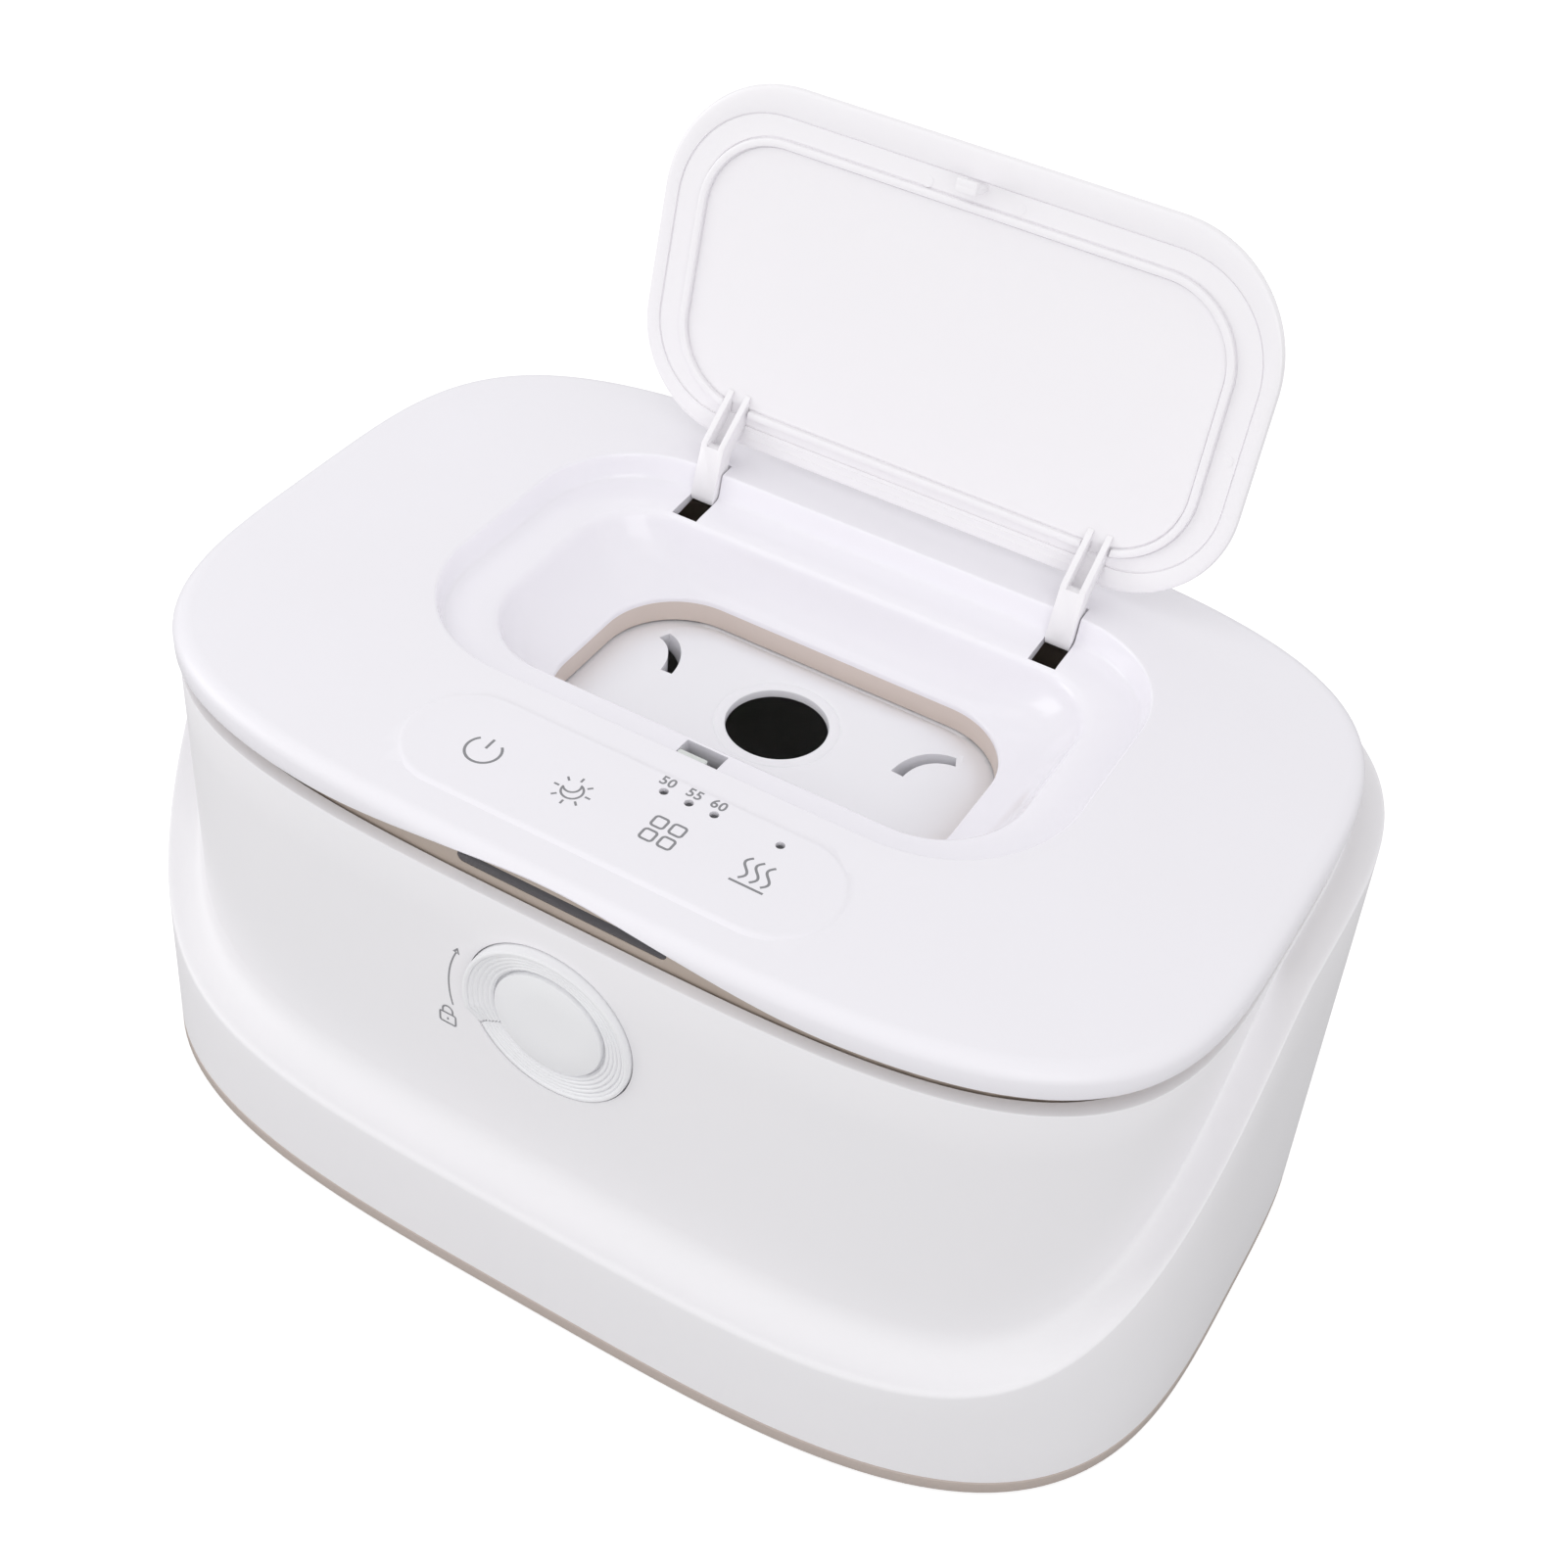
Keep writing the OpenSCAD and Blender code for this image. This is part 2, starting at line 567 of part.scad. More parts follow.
// Tank
tank_out_a = tank_w / 2 + tank_t;
tank_out_b = tank_d / 2 + tank_t;
module inner_tank() color("#e8e6e4") difference() {
    union() {
        slab(ring(tank_out_a, tank_out_b, tank_n, n_out), tank_z, flange_z - tank_z);
        slab(ring(rim_w / 2 - wall - gap, rim_d / 2 - wall - gap, rim_n, n_out), seat_z, flange_t);
    }
    slab(ring(tank_w / 2, tank_d / 2, tank_n, n_out), tank_z + tank_t, rim_z);
    // Notch in the flange for the lid's ear
    translate([ear_x - 2, -rim_d / 2, seat_z - 1]) cube([ear_t + 4, wall + 8.4, 5]);
}
mat_gap = 8;
module moisture_mat() color("#2a2a2c") slab(ring(tank_w / 2 - mat_gap, tank_d / 2 - mat_gap, tank_n, n_in),
    tank_z + tank_t, mat_t);

// Heater stack under the tank, with windows in the insulation for the sensor and the fuse
heater_n = 5;
film_in = 4;
film_t = 0.4;
film_z = tank_z - heater_t - film_t;
fuse_x = 30;
ntc_x = -30;
module heater_plate() color("#9a9ca0")
    slab(ring(heater_w / 2, heater_d / 2, heater_n, n_in), tank_z - heater_t, heater_t);
module heater_film() color("#a8702a")
    slab(ring(heater_w / 2 - film_in, heater_d / 2 - film_in, heater_n, n_in), film_z, film_t);
module insulation_pad() color("#d6d2c4") difference() {
    low = film_z - insulation_t;
    slab(ring(heater_w / 2, heater_d / 2, heater_n, n_in), low, insulation_t);
    for (window = [[fuse_x, 16], [ntc_x, 12]])
        translate([window[0] - window[1] / 2, -4, low - 1]) cube([window[1], 8, insulation_t + 2]);
}
module ntc_sensor() color("#303236") {
    translate([ntc_x - 4, -2, film_z - 1.6]) cube([8, 4, 1.6]);
    translate([ntc_x, 0, film_z - 3]) cylinder(r = 1.5, h = 1.6, $fn = 32);
}
module thermal_fuse() color("#c8c4b8") {
    rod_x(1.9, 10, 0, film_z - 2, fuse_x);
    translate([fuse_x - 4, -1.2, film_z - 1.5]) cube([8, 2.4, 1.5]);
}

// Main board and power inlet
jack_x = 60;
jack_z = 15;
jack_r = 4.2;
jack_bore = 2.75;
board_t = 1.6;
module main_board() color("#2f6b45") {
    top = board_z + board_t - 0.1;
    difference() {
        translate([-board_w / 2, -board_d / 2, board_z]) cube([board_w, board_d, board_t]);
        corners(board_w - board_inset, board_d - board_inset) cylinder(r = 1.6, h = 30, $fn = 32);
    }
    // Relay, processor, two capacitors and a connector
    translate([-40, 4, top]) cube([16, 12, 5]);
    translate([-12, -20, top]) cube([9, 9, 1.7]);
    for (y = [0, 12]) translate([34, y, top]) cylinder(r = 4, h = 5.5, $fn = 32);
    translate([-50, -26, top]) cube([6, 12, 4]);
}
module dc_jack() color("#2a2a2c") {
    back = skirt_b(jack_z) * pow(1 - pow(jack_x / skirt_a(jack_z), base_n), 1 / base_n);
    difference() {
        union() {
            rod_y(jack_r, back - wall - 1.6, back - 0.3, jack_x, jack_z);
            translate([jack_x - 5.5, back - wall - 13, jack_z - 6]) cube([11, 11.8, 11]);
        }
        rod_y(jack_bore, back - 10, back + 1, jack_x, jack_z);
    }
    // Centre pin
    rod_y(1, back - 11, back - 2, jack_x, jack_z);
}

// Press plate that lies on the wipes, domed up into the opening, with the dispensing hole
press_top = ring_z - 0.4;
press_skirt = 3;
dome_play = 0.6;
// The dome is level out to this share of its width, and falls away to its edge
dome_flat = 0.6;
dome_steps = [0.98, 0.93, 0.86, 0.78, 0.7, dome_flat];
lip_w = 2.6;
lip_h = 0.12;
module press_plate() {
    dome_a = open_w / 2 - dome_play;
    dome_b = open_d / 2 - dome_play;
    function rise(u) = dome_h * (1 - pow(max(0, (u - dome_flat) / (1 - dome_flat)), 2));
    function dome(u, z) = lift(rrect(dome_a * u, dome_b * u, open_r * u, open_r * u, open_y), z);
    outline = ring(press_w / 2, press_d / 2, tank_n, n_in);
    inner = ring(press_w / 2 - 1.6, press_d / 2 - 1.6, tank_n, n_in);
    under = press_top - press_t;
    color("#f4f4f6") difference() {
        union() {
            slab(outline, under, press_t);
            skin_of(concat([dome(1, press_top - 0.2)], [for (u = dome_steps) dome(u, press_top + rise(u))]));
            tube_of(outline, inner, under - press_skirt, press_skirt + 0.4);
            // Low lip round the hole
            translate([0, hole_y, press_top + dome_h - 1])
                cylinder(r = hole_r + lip_w, h = 1 + lip_h, $fn = 72);
        }
        skin_of(concat([dome(0.955, under - 1)], [for (u = dome_steps) dome(u - 0.025, under + rise(u))]));
        translate([0, hole_y, press_top - 10]) cylinder(r = hole_r, h = 20, $fn = 72);
        both() translate([grip_x, hole_y + 0.4, press_top - 10]) grip_slot();
    }
}
// A curved grip slot in the press plate, between two radial ends
slot_a0 = 126;
slot_a1 = 171;
module grip_slot() linear_extrude(20) intersection() {
    difference() {
        circle(r = grip_r + grip_w / 2, $fn = 96);
        circle(r = grip_r - grip_w / 2, $fn = 96);
    }
    polygon([[0, 0], for (a = [slot_a0, (slot_a0 + slot_a1) / 2, slot_a1]) [40 * cos(a), 40 * sin(a)]]);
}

// Lid cover with its bowl
function lid_arch(x, y) = (y < 0 && abs(x) < arch_w / 2) ? arch_h * pow(cos(180 * x / arch_w), 2) : 0;
roll_z = lid_top - 0.5;
// How far the rolled edge has come in at a height under the roll's top
function roll_in(z) = let (q = lid_roll - (roll_z - z))
    q <= 0 ? 0 : lid_roll - sqrt(max(0, lid_roll * lid_roll - q * q));
slot_front = bowl_y + bowl_d / 2 - 10;
slot_play = 0.5;
panel_w = 93;
panel_d = 25;
panel_y = -50;
panel_sink = 0.35;
icon_s = 18.9;
led_y = -41.9;
led_s = 5.3;
led_x = [icon_s / 2 - led_s, icon_s / 2, icon_s / 2 + led_s, icon_s * 1.5];
pipe_r = 0.65;
post_screw_r = 1.1;
module pill(w, d) {
    square([w - d, d], center = true);
    for (s = [-1, 1]) translate([s * (w - d) / 2, 0]) circle(d = d, $fn = 64);
}
module lid_cover() {
    n = 4 * n_corner;
    lip = lid_roll + 7;
    ledge = lid_top - ledge_z;
    // The lid's outline, t inside its edge
    function lid_pt(i, t) =
        let (turn = 90 * floor(i / n_corner) + 90 * (i % n_corner + 0.5) / n_corner)
        squircle(turn, lid_w / 2 - t, lid_d / 2 - t, rim_n);
    low = [for (i = [0:n - 1]) let (p = lid_pt(i, 0)) lid_low + lid_arch(p[0], p[1])];
    function side(u) = [for (i = [0:n - 1])
        let (z = mix(low[i], roll_z, u), p = lid_pt(i, roll_in(z))) [p[0], p[1], z]];
    function flat(t, z) = [for (i = [0:n - 1]) let (p = lid_pt(i, t)) [p[0], p[1], z]];
    function inner_low(t) = [for (i = [0:n - 1]) let (p = lid_pt(i, t)) [p[0], p[1], low[i]]];
    function inner_up(t, z) = [for (i = [0:n - 1])
        let (p = lid_pt(i, t)) [p[0], p[1], min(lid_under, max(low[i] + t * 0.02, z))]];
    function bowl(t, z) = lift(rrect(bowl_w / 2 - t, bowl_d / 2 - t, bowl_rb - t, bowl_rf - t, bowl_y), z);
    // The funnel from the ledge's inner edge down to the opening
    funnel_in = ledge_w + 2.2;
    function funnel(h, v, t) =
        let (p = rrect(bowl_w / 2 - funnel_in + t, bowl_d / 2 - funnel_in + t,
                 bowl_rb - ledge_w, bowl_rf - ledge_w, bowl_y),
             q = rrect(open_w / 2 + t, open_d / 2 + t, open_r + t, open_r + t, open_y))
        [for (i = [0:len(p) - 1]) [mix(p[i][0], q[i][0], h), mix(p[i][1], q[i][1], h), v]];
    zf = ledge - 0.6;
    function fall(v) = mix(zf, open_z, v);
    color("#efeff1") difference() {
        union() {
            band_of([
                side(0), side(0.35), side(0.6), side(0.78), side(0.92), side(1),
                flat(lip, lid_top - 0.1),
                bowl(-0.6, lid_top), bowl(-0.1, lid_top - 0.15), bowl(0.1, lid_top - 0.6),
                bowl(0.9, ledge + 0.9), bowl(1.6, ledge + 0.2), bowl(ledge_w, ledge - 0.1),
                funnel(0, zf, 0), funnel(0.12, fall(0.3), 0), funnel(0.35, fall(0.58), 0),
                funnel(0.68, fall(0.8), 0), funnel(0.93, fall(0.9), 0),
                funnel(1, open_z + 0.9, 0), funnel(1, open_z, 0), funnel(1, open_z, skin),
                funnel(0.9, fall(0.82) - skin * 0.7, skin * 0.8),
                funnel(0.35, fall(0.5) - skin * 0.6, skin), funnel(0, zf - skin * 0.7, skin),
                bowl(ledge_w - skin, ledge - skin), bowl(-skin + 0.6, ledge - skin * 0.6),
                bowl(-skin, lid_under), flat(lip, lid_under),
                inner_up(4.9, lid_under - 0.2), inner_up(2.9, lid_under - 1.8),
                inner_low(skin + 0.3)]);
            for (p = posts) translate([p[0], p[1], plate_z + 3.5])
                cylinder(r = 3.2, h = lid_under + 0.6 - plate_z - 3.5, $fn = 32);
        }
        for (p = posts) translate([p[0], p[1], plate_z])
            cylinder(r = post_screw_r + pin_gap, h = 16, $fn = 32);
        // Slot and pocket for each hinge arm
        both() translate([arm_x - arm_w / 2 - slot_play, 0, 0]) {
            translate([0, slot_front, open_z + 6])
                cube([arm_w + 2 * slot_play, axis_y - 1.6 - slot_front, 30]);
            translate([0, axis_y - 3, axis_z - 8]) cube([arm_w + 2 * slot_play, 9, 10.4]);
        }
        for (x = led_x) translate([x, led_y, lid_top - 10]) cylinder(r = pipe_r + pin_gap, h = 20, $fn = 32);
        // Shallow pill that carries the touch icons
        translate([0, panel_y, lid_top - panel_sink]) linear_extrude(5) pill(panel_w, panel_d);
        // Slot in the ledge for the flap's hook and catch
        translate([-catch_w / 2 - gap, catch_y0 - gap, ledge - 6])
            cube([catch_w + 2 * gap + catch_room, hook_y + hook_t + 0.35 - catch_y0 + gap, 7.2]);
    }
}

// Lid liner: the taupe collar, the plug that closes the tank and the ring under the bowl
plug_a = tank_w / 2 - plug_gap;
plug_b = tank_d / 2 - plug_gap;
ear_y = wall_in_y + 2.6;
post_xy = [[plug_a - 14.6, plug_b - 15.1], [plug_a - 44.6, 7.1 - plug_b]];
posts = [for (p = post_xy, s = [-1, 1]) [s * p[0], p[1]]];
post_head_r = 2.2;
ring_t = 2;
seal_w = 2;
seal_in = 1.2;
seal_sink = 1.1;
window_z = rim_z + 2;
module window_shape(t) hull() for (s = [-1, 1])
    translate([s * (window_w - window_h) / 2, 0]) circle(r = window_h / 2 + t, $fn = 32);
function mouth(t) = rrect(open_w / 2 + t, open_d / 2 + t, open_r + t, open_r + t, open_y);
function plug(t) = ring(plug_a - t, plug_b - t, tank_n, n_out);
function collar(t) = ring(collar_w / 2 - t, collar_d / 2 - t, rim_n, n_out);
function seal_ring(t) = ring(tank_w / 2 + seal_in + t, tank_d / 2 + seal_in + t, tank_n, n_in);
module lid_liner() color("#b9aca6") difference() {
    union() {
        tube_of(collar(0), collar(liner_t), liner_z, lid_under - 1.8 - liner_z);
        tube_of(collar(0.5), plug(liner_t), liner_z, liner_t);
        tube_of(plug(0), plug(liner_t), plate_z, liner_z - plate_z + 0.5);
        tube_of(plug(0.5), mouth(ring_t / 2), plate_z, liner_t);
        tube_of(mouth(ring_t), mouth(0), ring_z, ring_h);
        both() {
            rod_x(knuckle_r, knuckle_l, hinge_y, hinge_z, hinge_x);
            translate([hinge_x - knuckle_l / 2, collar_d / 2 - 1.2, hinge_z - knuckle_r])
                cube([knuckle_l, hinge_y - collar_d / 2 + 1.2, 2 * knuckle_r]);
        }
        for (p = posts) translate([p[0], p[1], plate_z]) cylinder(r = 3.8, h = 3.4, $fn = 32);
        // The ear that the latch bolt enters
        translate([ear_x, ear_y, slider_z0 - 3])
            cube([ear_t, gear_y + gear_w - ear_y + 1.6, liner_z + 0.5 - slider_z0 + 3]);
    }
    both() for (x = lug_x) rod_x(knuckle_r + 0.35, lug_l + 0.4, hinge_y, hinge_z, x);
    rod_x(lid_pin_r + pin_gap, 2 * hinge_x + 40, hinge_y, hinge_z);
    for (p = posts) translate([p[0], p[1], plate_z - 1]) {
        cylinder(r = post_screw_r + 0.2, h = 40, $fn = 32);
        cylinder(r = post_head_r + 0.2, h = 2.8, $fn = 32);
    }
    tube_of(seal_ring(seal_w), seal_ring(0), liner_z - 1, seal_sink + 1);
    // Window slot
    translate([0, -collar_d / 2 - 1, window_z + window_h / 2]) rotate([-90, 0, 0])
        linear_extrude(liner_t + 2) window_shape(pin_gap);
    // Slot in the ear
    translate([ear_x - 1, gear_y - 0.4, slider_z0 - 0.4]) cube([ear_t + 2.6, gear_w + 0.8, bolt_h + 0.8]);
}
module lid_seal() color("#dcdcdc")
    tube_of(seal_ring(seal_w), seal_ring(0), flange_z + 0.1, liner_z + seal_sink - flange_z - 0.1);
module lid_screws() color("#8a8c90") for (p = posts) translate([p[0], p[1], plate_z + 0.6]) {
    cylinder(r = post_head_r, h = 1.2, $fn = 32);
    cylinder(r = post_screw_r, h = 13, $fn = 32);
}

// Touch board, its pads and the light pipes
pad_t = 0.8;
pad_w = 10;
small_board_t = 1.2;
touch_z = lid_under - pad_t;
module touch_board() color("#2f6b45")
    translate([-44, panel_y - 9, touch_z - small_board_t]) cube([88, 22, small_board_t]);
module touch_pads() color("#55565a") for (i = [-1.5:1:1.5])
    translate([i * icon_s - pad_w / 2, panel_y - 6, touch_z]) cube([pad_w, pad_w, pad_t]);
module light_pipes() color("#f6f6ea") for (x = led_x)
    translate([x, led_y, touch_z]) cylinder(r = pipe_r, h = lid_top - 0.45 - touch_z, $fn = 32);

// Night light window, clipped behind the collar, and its board
flange = 1;
module night_light_window() color("#5a5a5c") {
    translate([0, -collar_d / 2, window_z + window_h / 2]) rotate([-90, 0, 0])
        linear_extrude(liner_t + 0.2) window_shape(0);
    translate([-window_w / 2 - 1.5, -collar_d / 2 + liner_t + 0.1, window_z - 1.2])
        cube([window_w + 3, flange, window_h + 2.4]);
}
module night_light_board() color("#2f6b45") {
    y = -collar_d / 2 + liner_t + 0.1 + flange;
    translate([-20, y + 1, liner_z + liner_t])
        cube([40, small_board_t, lid_top - skin - 2 - liner_z - liner_t]);
    for (x = [-14, 0, 14]) translate([x - 1.2, y, window_z + window_h / 2 - 1]) cube([2.4, 1.1, 2]);
}

// Pins of the lid's hinge
module lid_hinge_pin(s) color("#a0a2a6")
    rod_x(lid_pin_r, knuckle_l + 2 * lug_l, hinge_y, hinge_z, s * hinge_x);
module lid_hinge_pin_left() lid_hinge_pin(-1);
module lid_hinge_pin_right() lid_hinge_pin(1);

// Flap, drawn closed and swung open about its hinge axis
module swing() translate([0, axis_y, axis_z]) rotate([-flap_open, 0, 0]) translate([0, -axis_y, -axis_z])
    children();
flap_a = bowl_w / 2 - flap_gap;
flap_b = bowl_d / 2 - flap_gap_y;
flap_rb = bowl_rb - 0.7;
flap_rf = bowl_rf - 0.7;
flap_under = lid_top - flap_t;
step_w = 3.6;
step_h = 0.25;
hook_y = bowl_y - flap_b + 6.2;
hook_z = lid_top - ledge_z - 2.7;
hook_w = 4.4;
hook_t = 1.4;
hook_lip = 1.2;
module flap() {
    function edge(t, z) = lift(rrect(flap_a - t, flap_b - t, flap_rb - t, flap_rf - t, bowl_y), z);
    color("#f1f1f3") swing() {
        difference() {
            skin_of([
                edge(1, flap_under), edge(0.3, flap_under + 0.5), edge(0, flap_under + 1.1),
                edge(0.1, lid_top - 1), edge(0.8, lid_top - 0.4), edge(2.2, lid_top - 0.1),
                edge(9, lid_top)]);
            // The inside is a shallow step lower than its border
            slab(rrect(flap_a - step_w, flap_b - step_w - 1.8, flap_rb - 4.3, flap_rf - 5.3, bowl_y + 0.6),
                flap_under - 1, 1 + step_h);
        }
        // Hook that the catch holds
        translate([-hook_w / 2, hook_y, hook_z]) cube([hook_w, hook_t, flap_under + 0.3 - hook_z]);
        translate([-hook_w / 2, hook_y - hook_lip, hook_z]) cube([hook_w, hook_t, hook_lip]);
    }
}
bead_a = flap_a - 8.7;
bead_b = flap_b - 8.55;
bead_r = 17.6;
bead_w = 1.6;
bead_y = bowl_y + 1.9;
module flap_bead() color("#f6f6f8") swing() difference() {
    tube_of(rrect(bead_a, bead_b, bead_r, bead_r, bead_y),
        rrect(bead_a - bead_w, bead_b - bead_w, bead_r - bead_w, bead_r - bead_w, bead_y),
        flap_under - 0.9, 0.9 + step_h);
    both() translate([arm_x - arm_w / 2, bead_y, flap_under - 2]) cube([arm_w, bead_b + 5, 3]);
}

// Gooseneck arms between the flap and its pins, drawn with the flap closed
arm_end = flap_under - axis_z + step_h - 0.01;
arm_wall = 1.5;
module flap_arm(s) color("#f1f1f3") swing()
    translate([s * arm_x - arm_w / 2, axis_y, axis_z]) rotate([90, 0, 90]) difference() {
        linear_extrude(arm_w) difference() {
            union() {
                circle(r = 2.1, $fn = 48);
                polygon([[-18.2, arm_end], [-8.4, -7.2], [3, -8.2], [4.6, -7.4], [5.1, -5.5], [2.1, 0],
                    [-1.9, -0.9], [-1.7, -3.6], [-5.8, -3.8], [-12.2, arm_end]]);
            }
            circle(r = flap_pin_r + pin_gap, $fn = 48);
        }
        // Channel along the arm's front, open at the flap's end
        translate([0, 0, arm_wall]) linear_extrude(arm_w - 2 * arm_wall)
            polygon([[-18.5, arm_end + 0.1], [-8.6, -8.6], [-7.4, -6.6], [-14.5, arm_end + 0.1]]);
    }
module flap_arm_left() flap_arm(-1);
module flap_arm_right() flap_arm(1);
cheek_t = 3.4;
cheek_x = arm_w / 2 + slot_play;
module flap_pin(s) color("#a0a2a6")
    rod_x(flap_pin_r, 2 * (cheek_x + cheek_t) - 0.4, axis_y, axis_z, s * arm_x);
module flap_pin_left() flap_pin(-1);
module flap_pin_right() flap_pin(1);
// Two cheeks under the cover that hold a flap pin
module flap_bracket(s) color("#efeff1") difference() {
    for (x = [-cheek_x - cheek_t, cheek_x]) translate([s * arm_x + x, axis_y - 2.6, axis_z - 2.4])
        cube([cheek_t, 7, lid_under - axis_z + 2.4]);
    rod_x(flap_pin_r + pin_gap, 30, axis_y, axis_z, s * arm_x);
}
module flap_bracket_left() flap_bracket(-1);
module flap_bracket_right() flap_bracket(1);

// Catch that holds the closed flap
catch_y0 = hook_y - hook_lip - gap - catch_l;
catch_z0 = hook_z - 1.9;
catch_h = 4.8;
catch_back = 1.1;
module flap_catch() color("#e6eaec") translate([-catch_w / 2, catch_y0, catch_z0]) difference() {
    cube([catch_w, catch_l, catch_h]);
    // Mouth that takes the hook's lip, open at both ends
    translate([-1, catch_back, hook_z - catch_z0 - 0.5]) cube([catch_w + 2, catch_l, hook_lip + 1]);
}

base_plate();
foot_front_left();
foot_front_right();
foot_rear_left();
foot_rear_right();
base_screws();
lower_housing();
knob_ring();
knob_cap();
latch_pinion();
latch_guide();
latch_slider();
guide_screws();
inner_tank();
moisture_mat();
heater_plate();
heater_film();
insulation_pad();
ntc_sensor();
thermal_fuse();
main_board();
dc_jack();
press_plate();
lid_cover();
lid_liner();
lid_seal();
lid_screws();
touch_board();
touch_pads();
light_pipes();
night_light_window();
night_light_board();
lid_hinge_pin_left();
lid_hinge_pin_right();
flap();
flap_bead();
flap_arm_left();
flap_arm_right();
flap_pin_left();
flap_pin_right();
flap_bracket_left();
flap_bracket_right();
flap_catch();
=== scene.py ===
import math

import bmesh
import bpy
from mathutils import Matrix, Vector


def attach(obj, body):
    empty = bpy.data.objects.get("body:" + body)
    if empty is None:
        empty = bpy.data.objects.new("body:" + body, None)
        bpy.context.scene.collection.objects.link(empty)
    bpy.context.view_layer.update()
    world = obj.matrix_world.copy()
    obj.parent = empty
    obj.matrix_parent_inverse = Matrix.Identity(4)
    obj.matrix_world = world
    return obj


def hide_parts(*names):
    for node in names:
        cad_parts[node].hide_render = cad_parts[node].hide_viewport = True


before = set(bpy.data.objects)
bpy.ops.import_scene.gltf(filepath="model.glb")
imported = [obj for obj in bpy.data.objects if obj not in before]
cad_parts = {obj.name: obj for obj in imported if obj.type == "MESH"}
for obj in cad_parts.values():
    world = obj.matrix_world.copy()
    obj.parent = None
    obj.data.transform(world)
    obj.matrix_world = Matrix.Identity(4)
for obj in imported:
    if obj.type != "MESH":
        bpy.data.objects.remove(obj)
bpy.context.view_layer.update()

# Base plate: a taupe plastic tray that closes the body from below and shows as a thin
# band round its foot. Injection moulded, held by four screws from below.
MM = 0.001
WELD = 1e-7
BASE_HALF = (121.0, 83.0)
BASE_POWER = 3.57
SKIRT_DRAFT = math.tan(math.radians(2.05))
BAND = (0.8, 4.3)
ROUND = 288
FOOT_AT, FOOT_R = (85, 42), 7.2
SCREW_AT, SCREW_R = (88, 58), 3.2
RECESS = 2
VENT_PITCH, VENT_X, VENT_Y, VENT_CUT = 9, 1.5, 14, 3


def mix(a, b, t):
    return a + (b - a) * t


def corners(half):
    return [(x, y) for x in (-half[0], half[0]) for y in (-half[1], half[1])]


def squared(turn, half_x, half_y, power):
    # A point on a squared ellipse, at a share of a full turn
    c, s = math.cos(math.tau * turn), math.sin(math.tau * turn)
    k = (abs(c) ** power + abs(s) ** power) ** (-1 / power)
    return half_x * c * k, half_y * s * k


def skirt(turn, z, inset=0.0):
    # The body's outer face below the crease, drafted inwards from the base band
    drawn = max(0.0, z - BAND[0]) * SKIRT_DRAFT + inset
    return (*squared(turn, BASE_HALF[0] - drawn, BASE_HALF[1] - drawn, BASE_POWER), z)


def around(outline, *steps):
    # Rings of one outline; a step is what it takes after the turn, one value or several
    steps = [step if isinstance(step, tuple) else (step,) for step in steps]
    return [lambda turn, step=step: outline(turn, *step) for step in steps]


def grown(shape, rings, count=ROUND, closed=False):
    # A skin through a stack of rings; each ring gives a point in mm for a share of a turn
    place = shape.verts.layers.int.get("place") or shape.verts.layers.int.new("place")
    first = bmesh.ops.create_circle(shape, segments=count, radius=1)["verts"]
    for i, vert in enumerate(first):
        vert[place] = i
    edges = list(dict.fromkeys(e for v in first for e in v.link_edges))
    loops = [edges]
    for vert in first:
        vert.co = Vector(rings[0](vert[place] / count)) * MM
    for ring in rings[1:] + (rings[:1] if closed else []):
        made = bmesh.ops.extrude_edge_only(shape, edges=edges)["geom"]
        verts = {g for g in made if isinstance(g, bmesh.types.BMVert)}
        edges = [g for g in made if isinstance(g, bmesh.types.BMEdge) and set(g.verts) <= verts]
        for vert in verts:
            vert.co = Vector(ring(vert[place] / count)) * MM
        loops.append(edges)
    if closed:
        bmesh.ops.remove_doubles(shape, verts=shape.verts, dist=WELD)
    else:
        for loop in (loops[0], loops[-1]):
            bmesh.ops.edgeloop_fill(shape, edges=loop)


def placed(name, data):
    made = bpy.data.objects.new(name, data)
    bpy.context.scene.collection.objects.link(made)
    return made


def where(part):
    # Sum of the corners' places of a point, an edge or a face
    points = [part] if isinstance(part, bmesh.types.BMVert) else part.verts
    return tuple(sum((point.co for point in points), Vector()))


def solid(shape):
    # Makes an object of a shape; the order by place gives the same mesh in each run
    for parts in (shape.verts, shape.edges, shape.faces):
        rank = {part: i for i, part in enumerate(sorted(parts, key=where))}
        parts.sort(key=rank.get)
    bmesh.ops.remove_doubles(shape, verts=shape.verts, dist=WELD)
    bmesh.ops.dissolve_degenerate(shape, edges=shape.edges, dist=WELD)
    bmesh.ops.recalc_face_normals(shape, faces=shape.faces)
    mesh = bpy.data.meshes.new("shape")
    shape.to_mesh(mesh)
    shape.free()
    return placed("shape", mesh)


def skin(rings, count=ROUND, closed=False):
    shape = bmesh.new()
    grown(shape, rings, count, closed)
    return solid(shape)


def disc(centre, radius, low, high, axis="Z", count=96):
    # A round bar or hole along an axis, from low to high
    shape = bmesh.new()
    bmesh.ops.create_cone(shape, cap_ends=True, segments=count, radius1=radius * MM,
                          radius2=radius * MM, depth=(high - low) * MM)
    turn = {"X": Matrix.Rotation(math.pi / 2, 4, "Y"), "Y": Matrix.Rotation(-math.pi / 2, 4, "X"),
            "Z": Matrix.Identity(4)}[axis]
    middle = Vector(centre)
    middle["XYZ".index(axis)] = (low + high) / 2
    bmesh.ops.transform(shape, matrix=Matrix.Translation(middle * MM) @ turn, verts=shape.verts)
    return solid(shape)


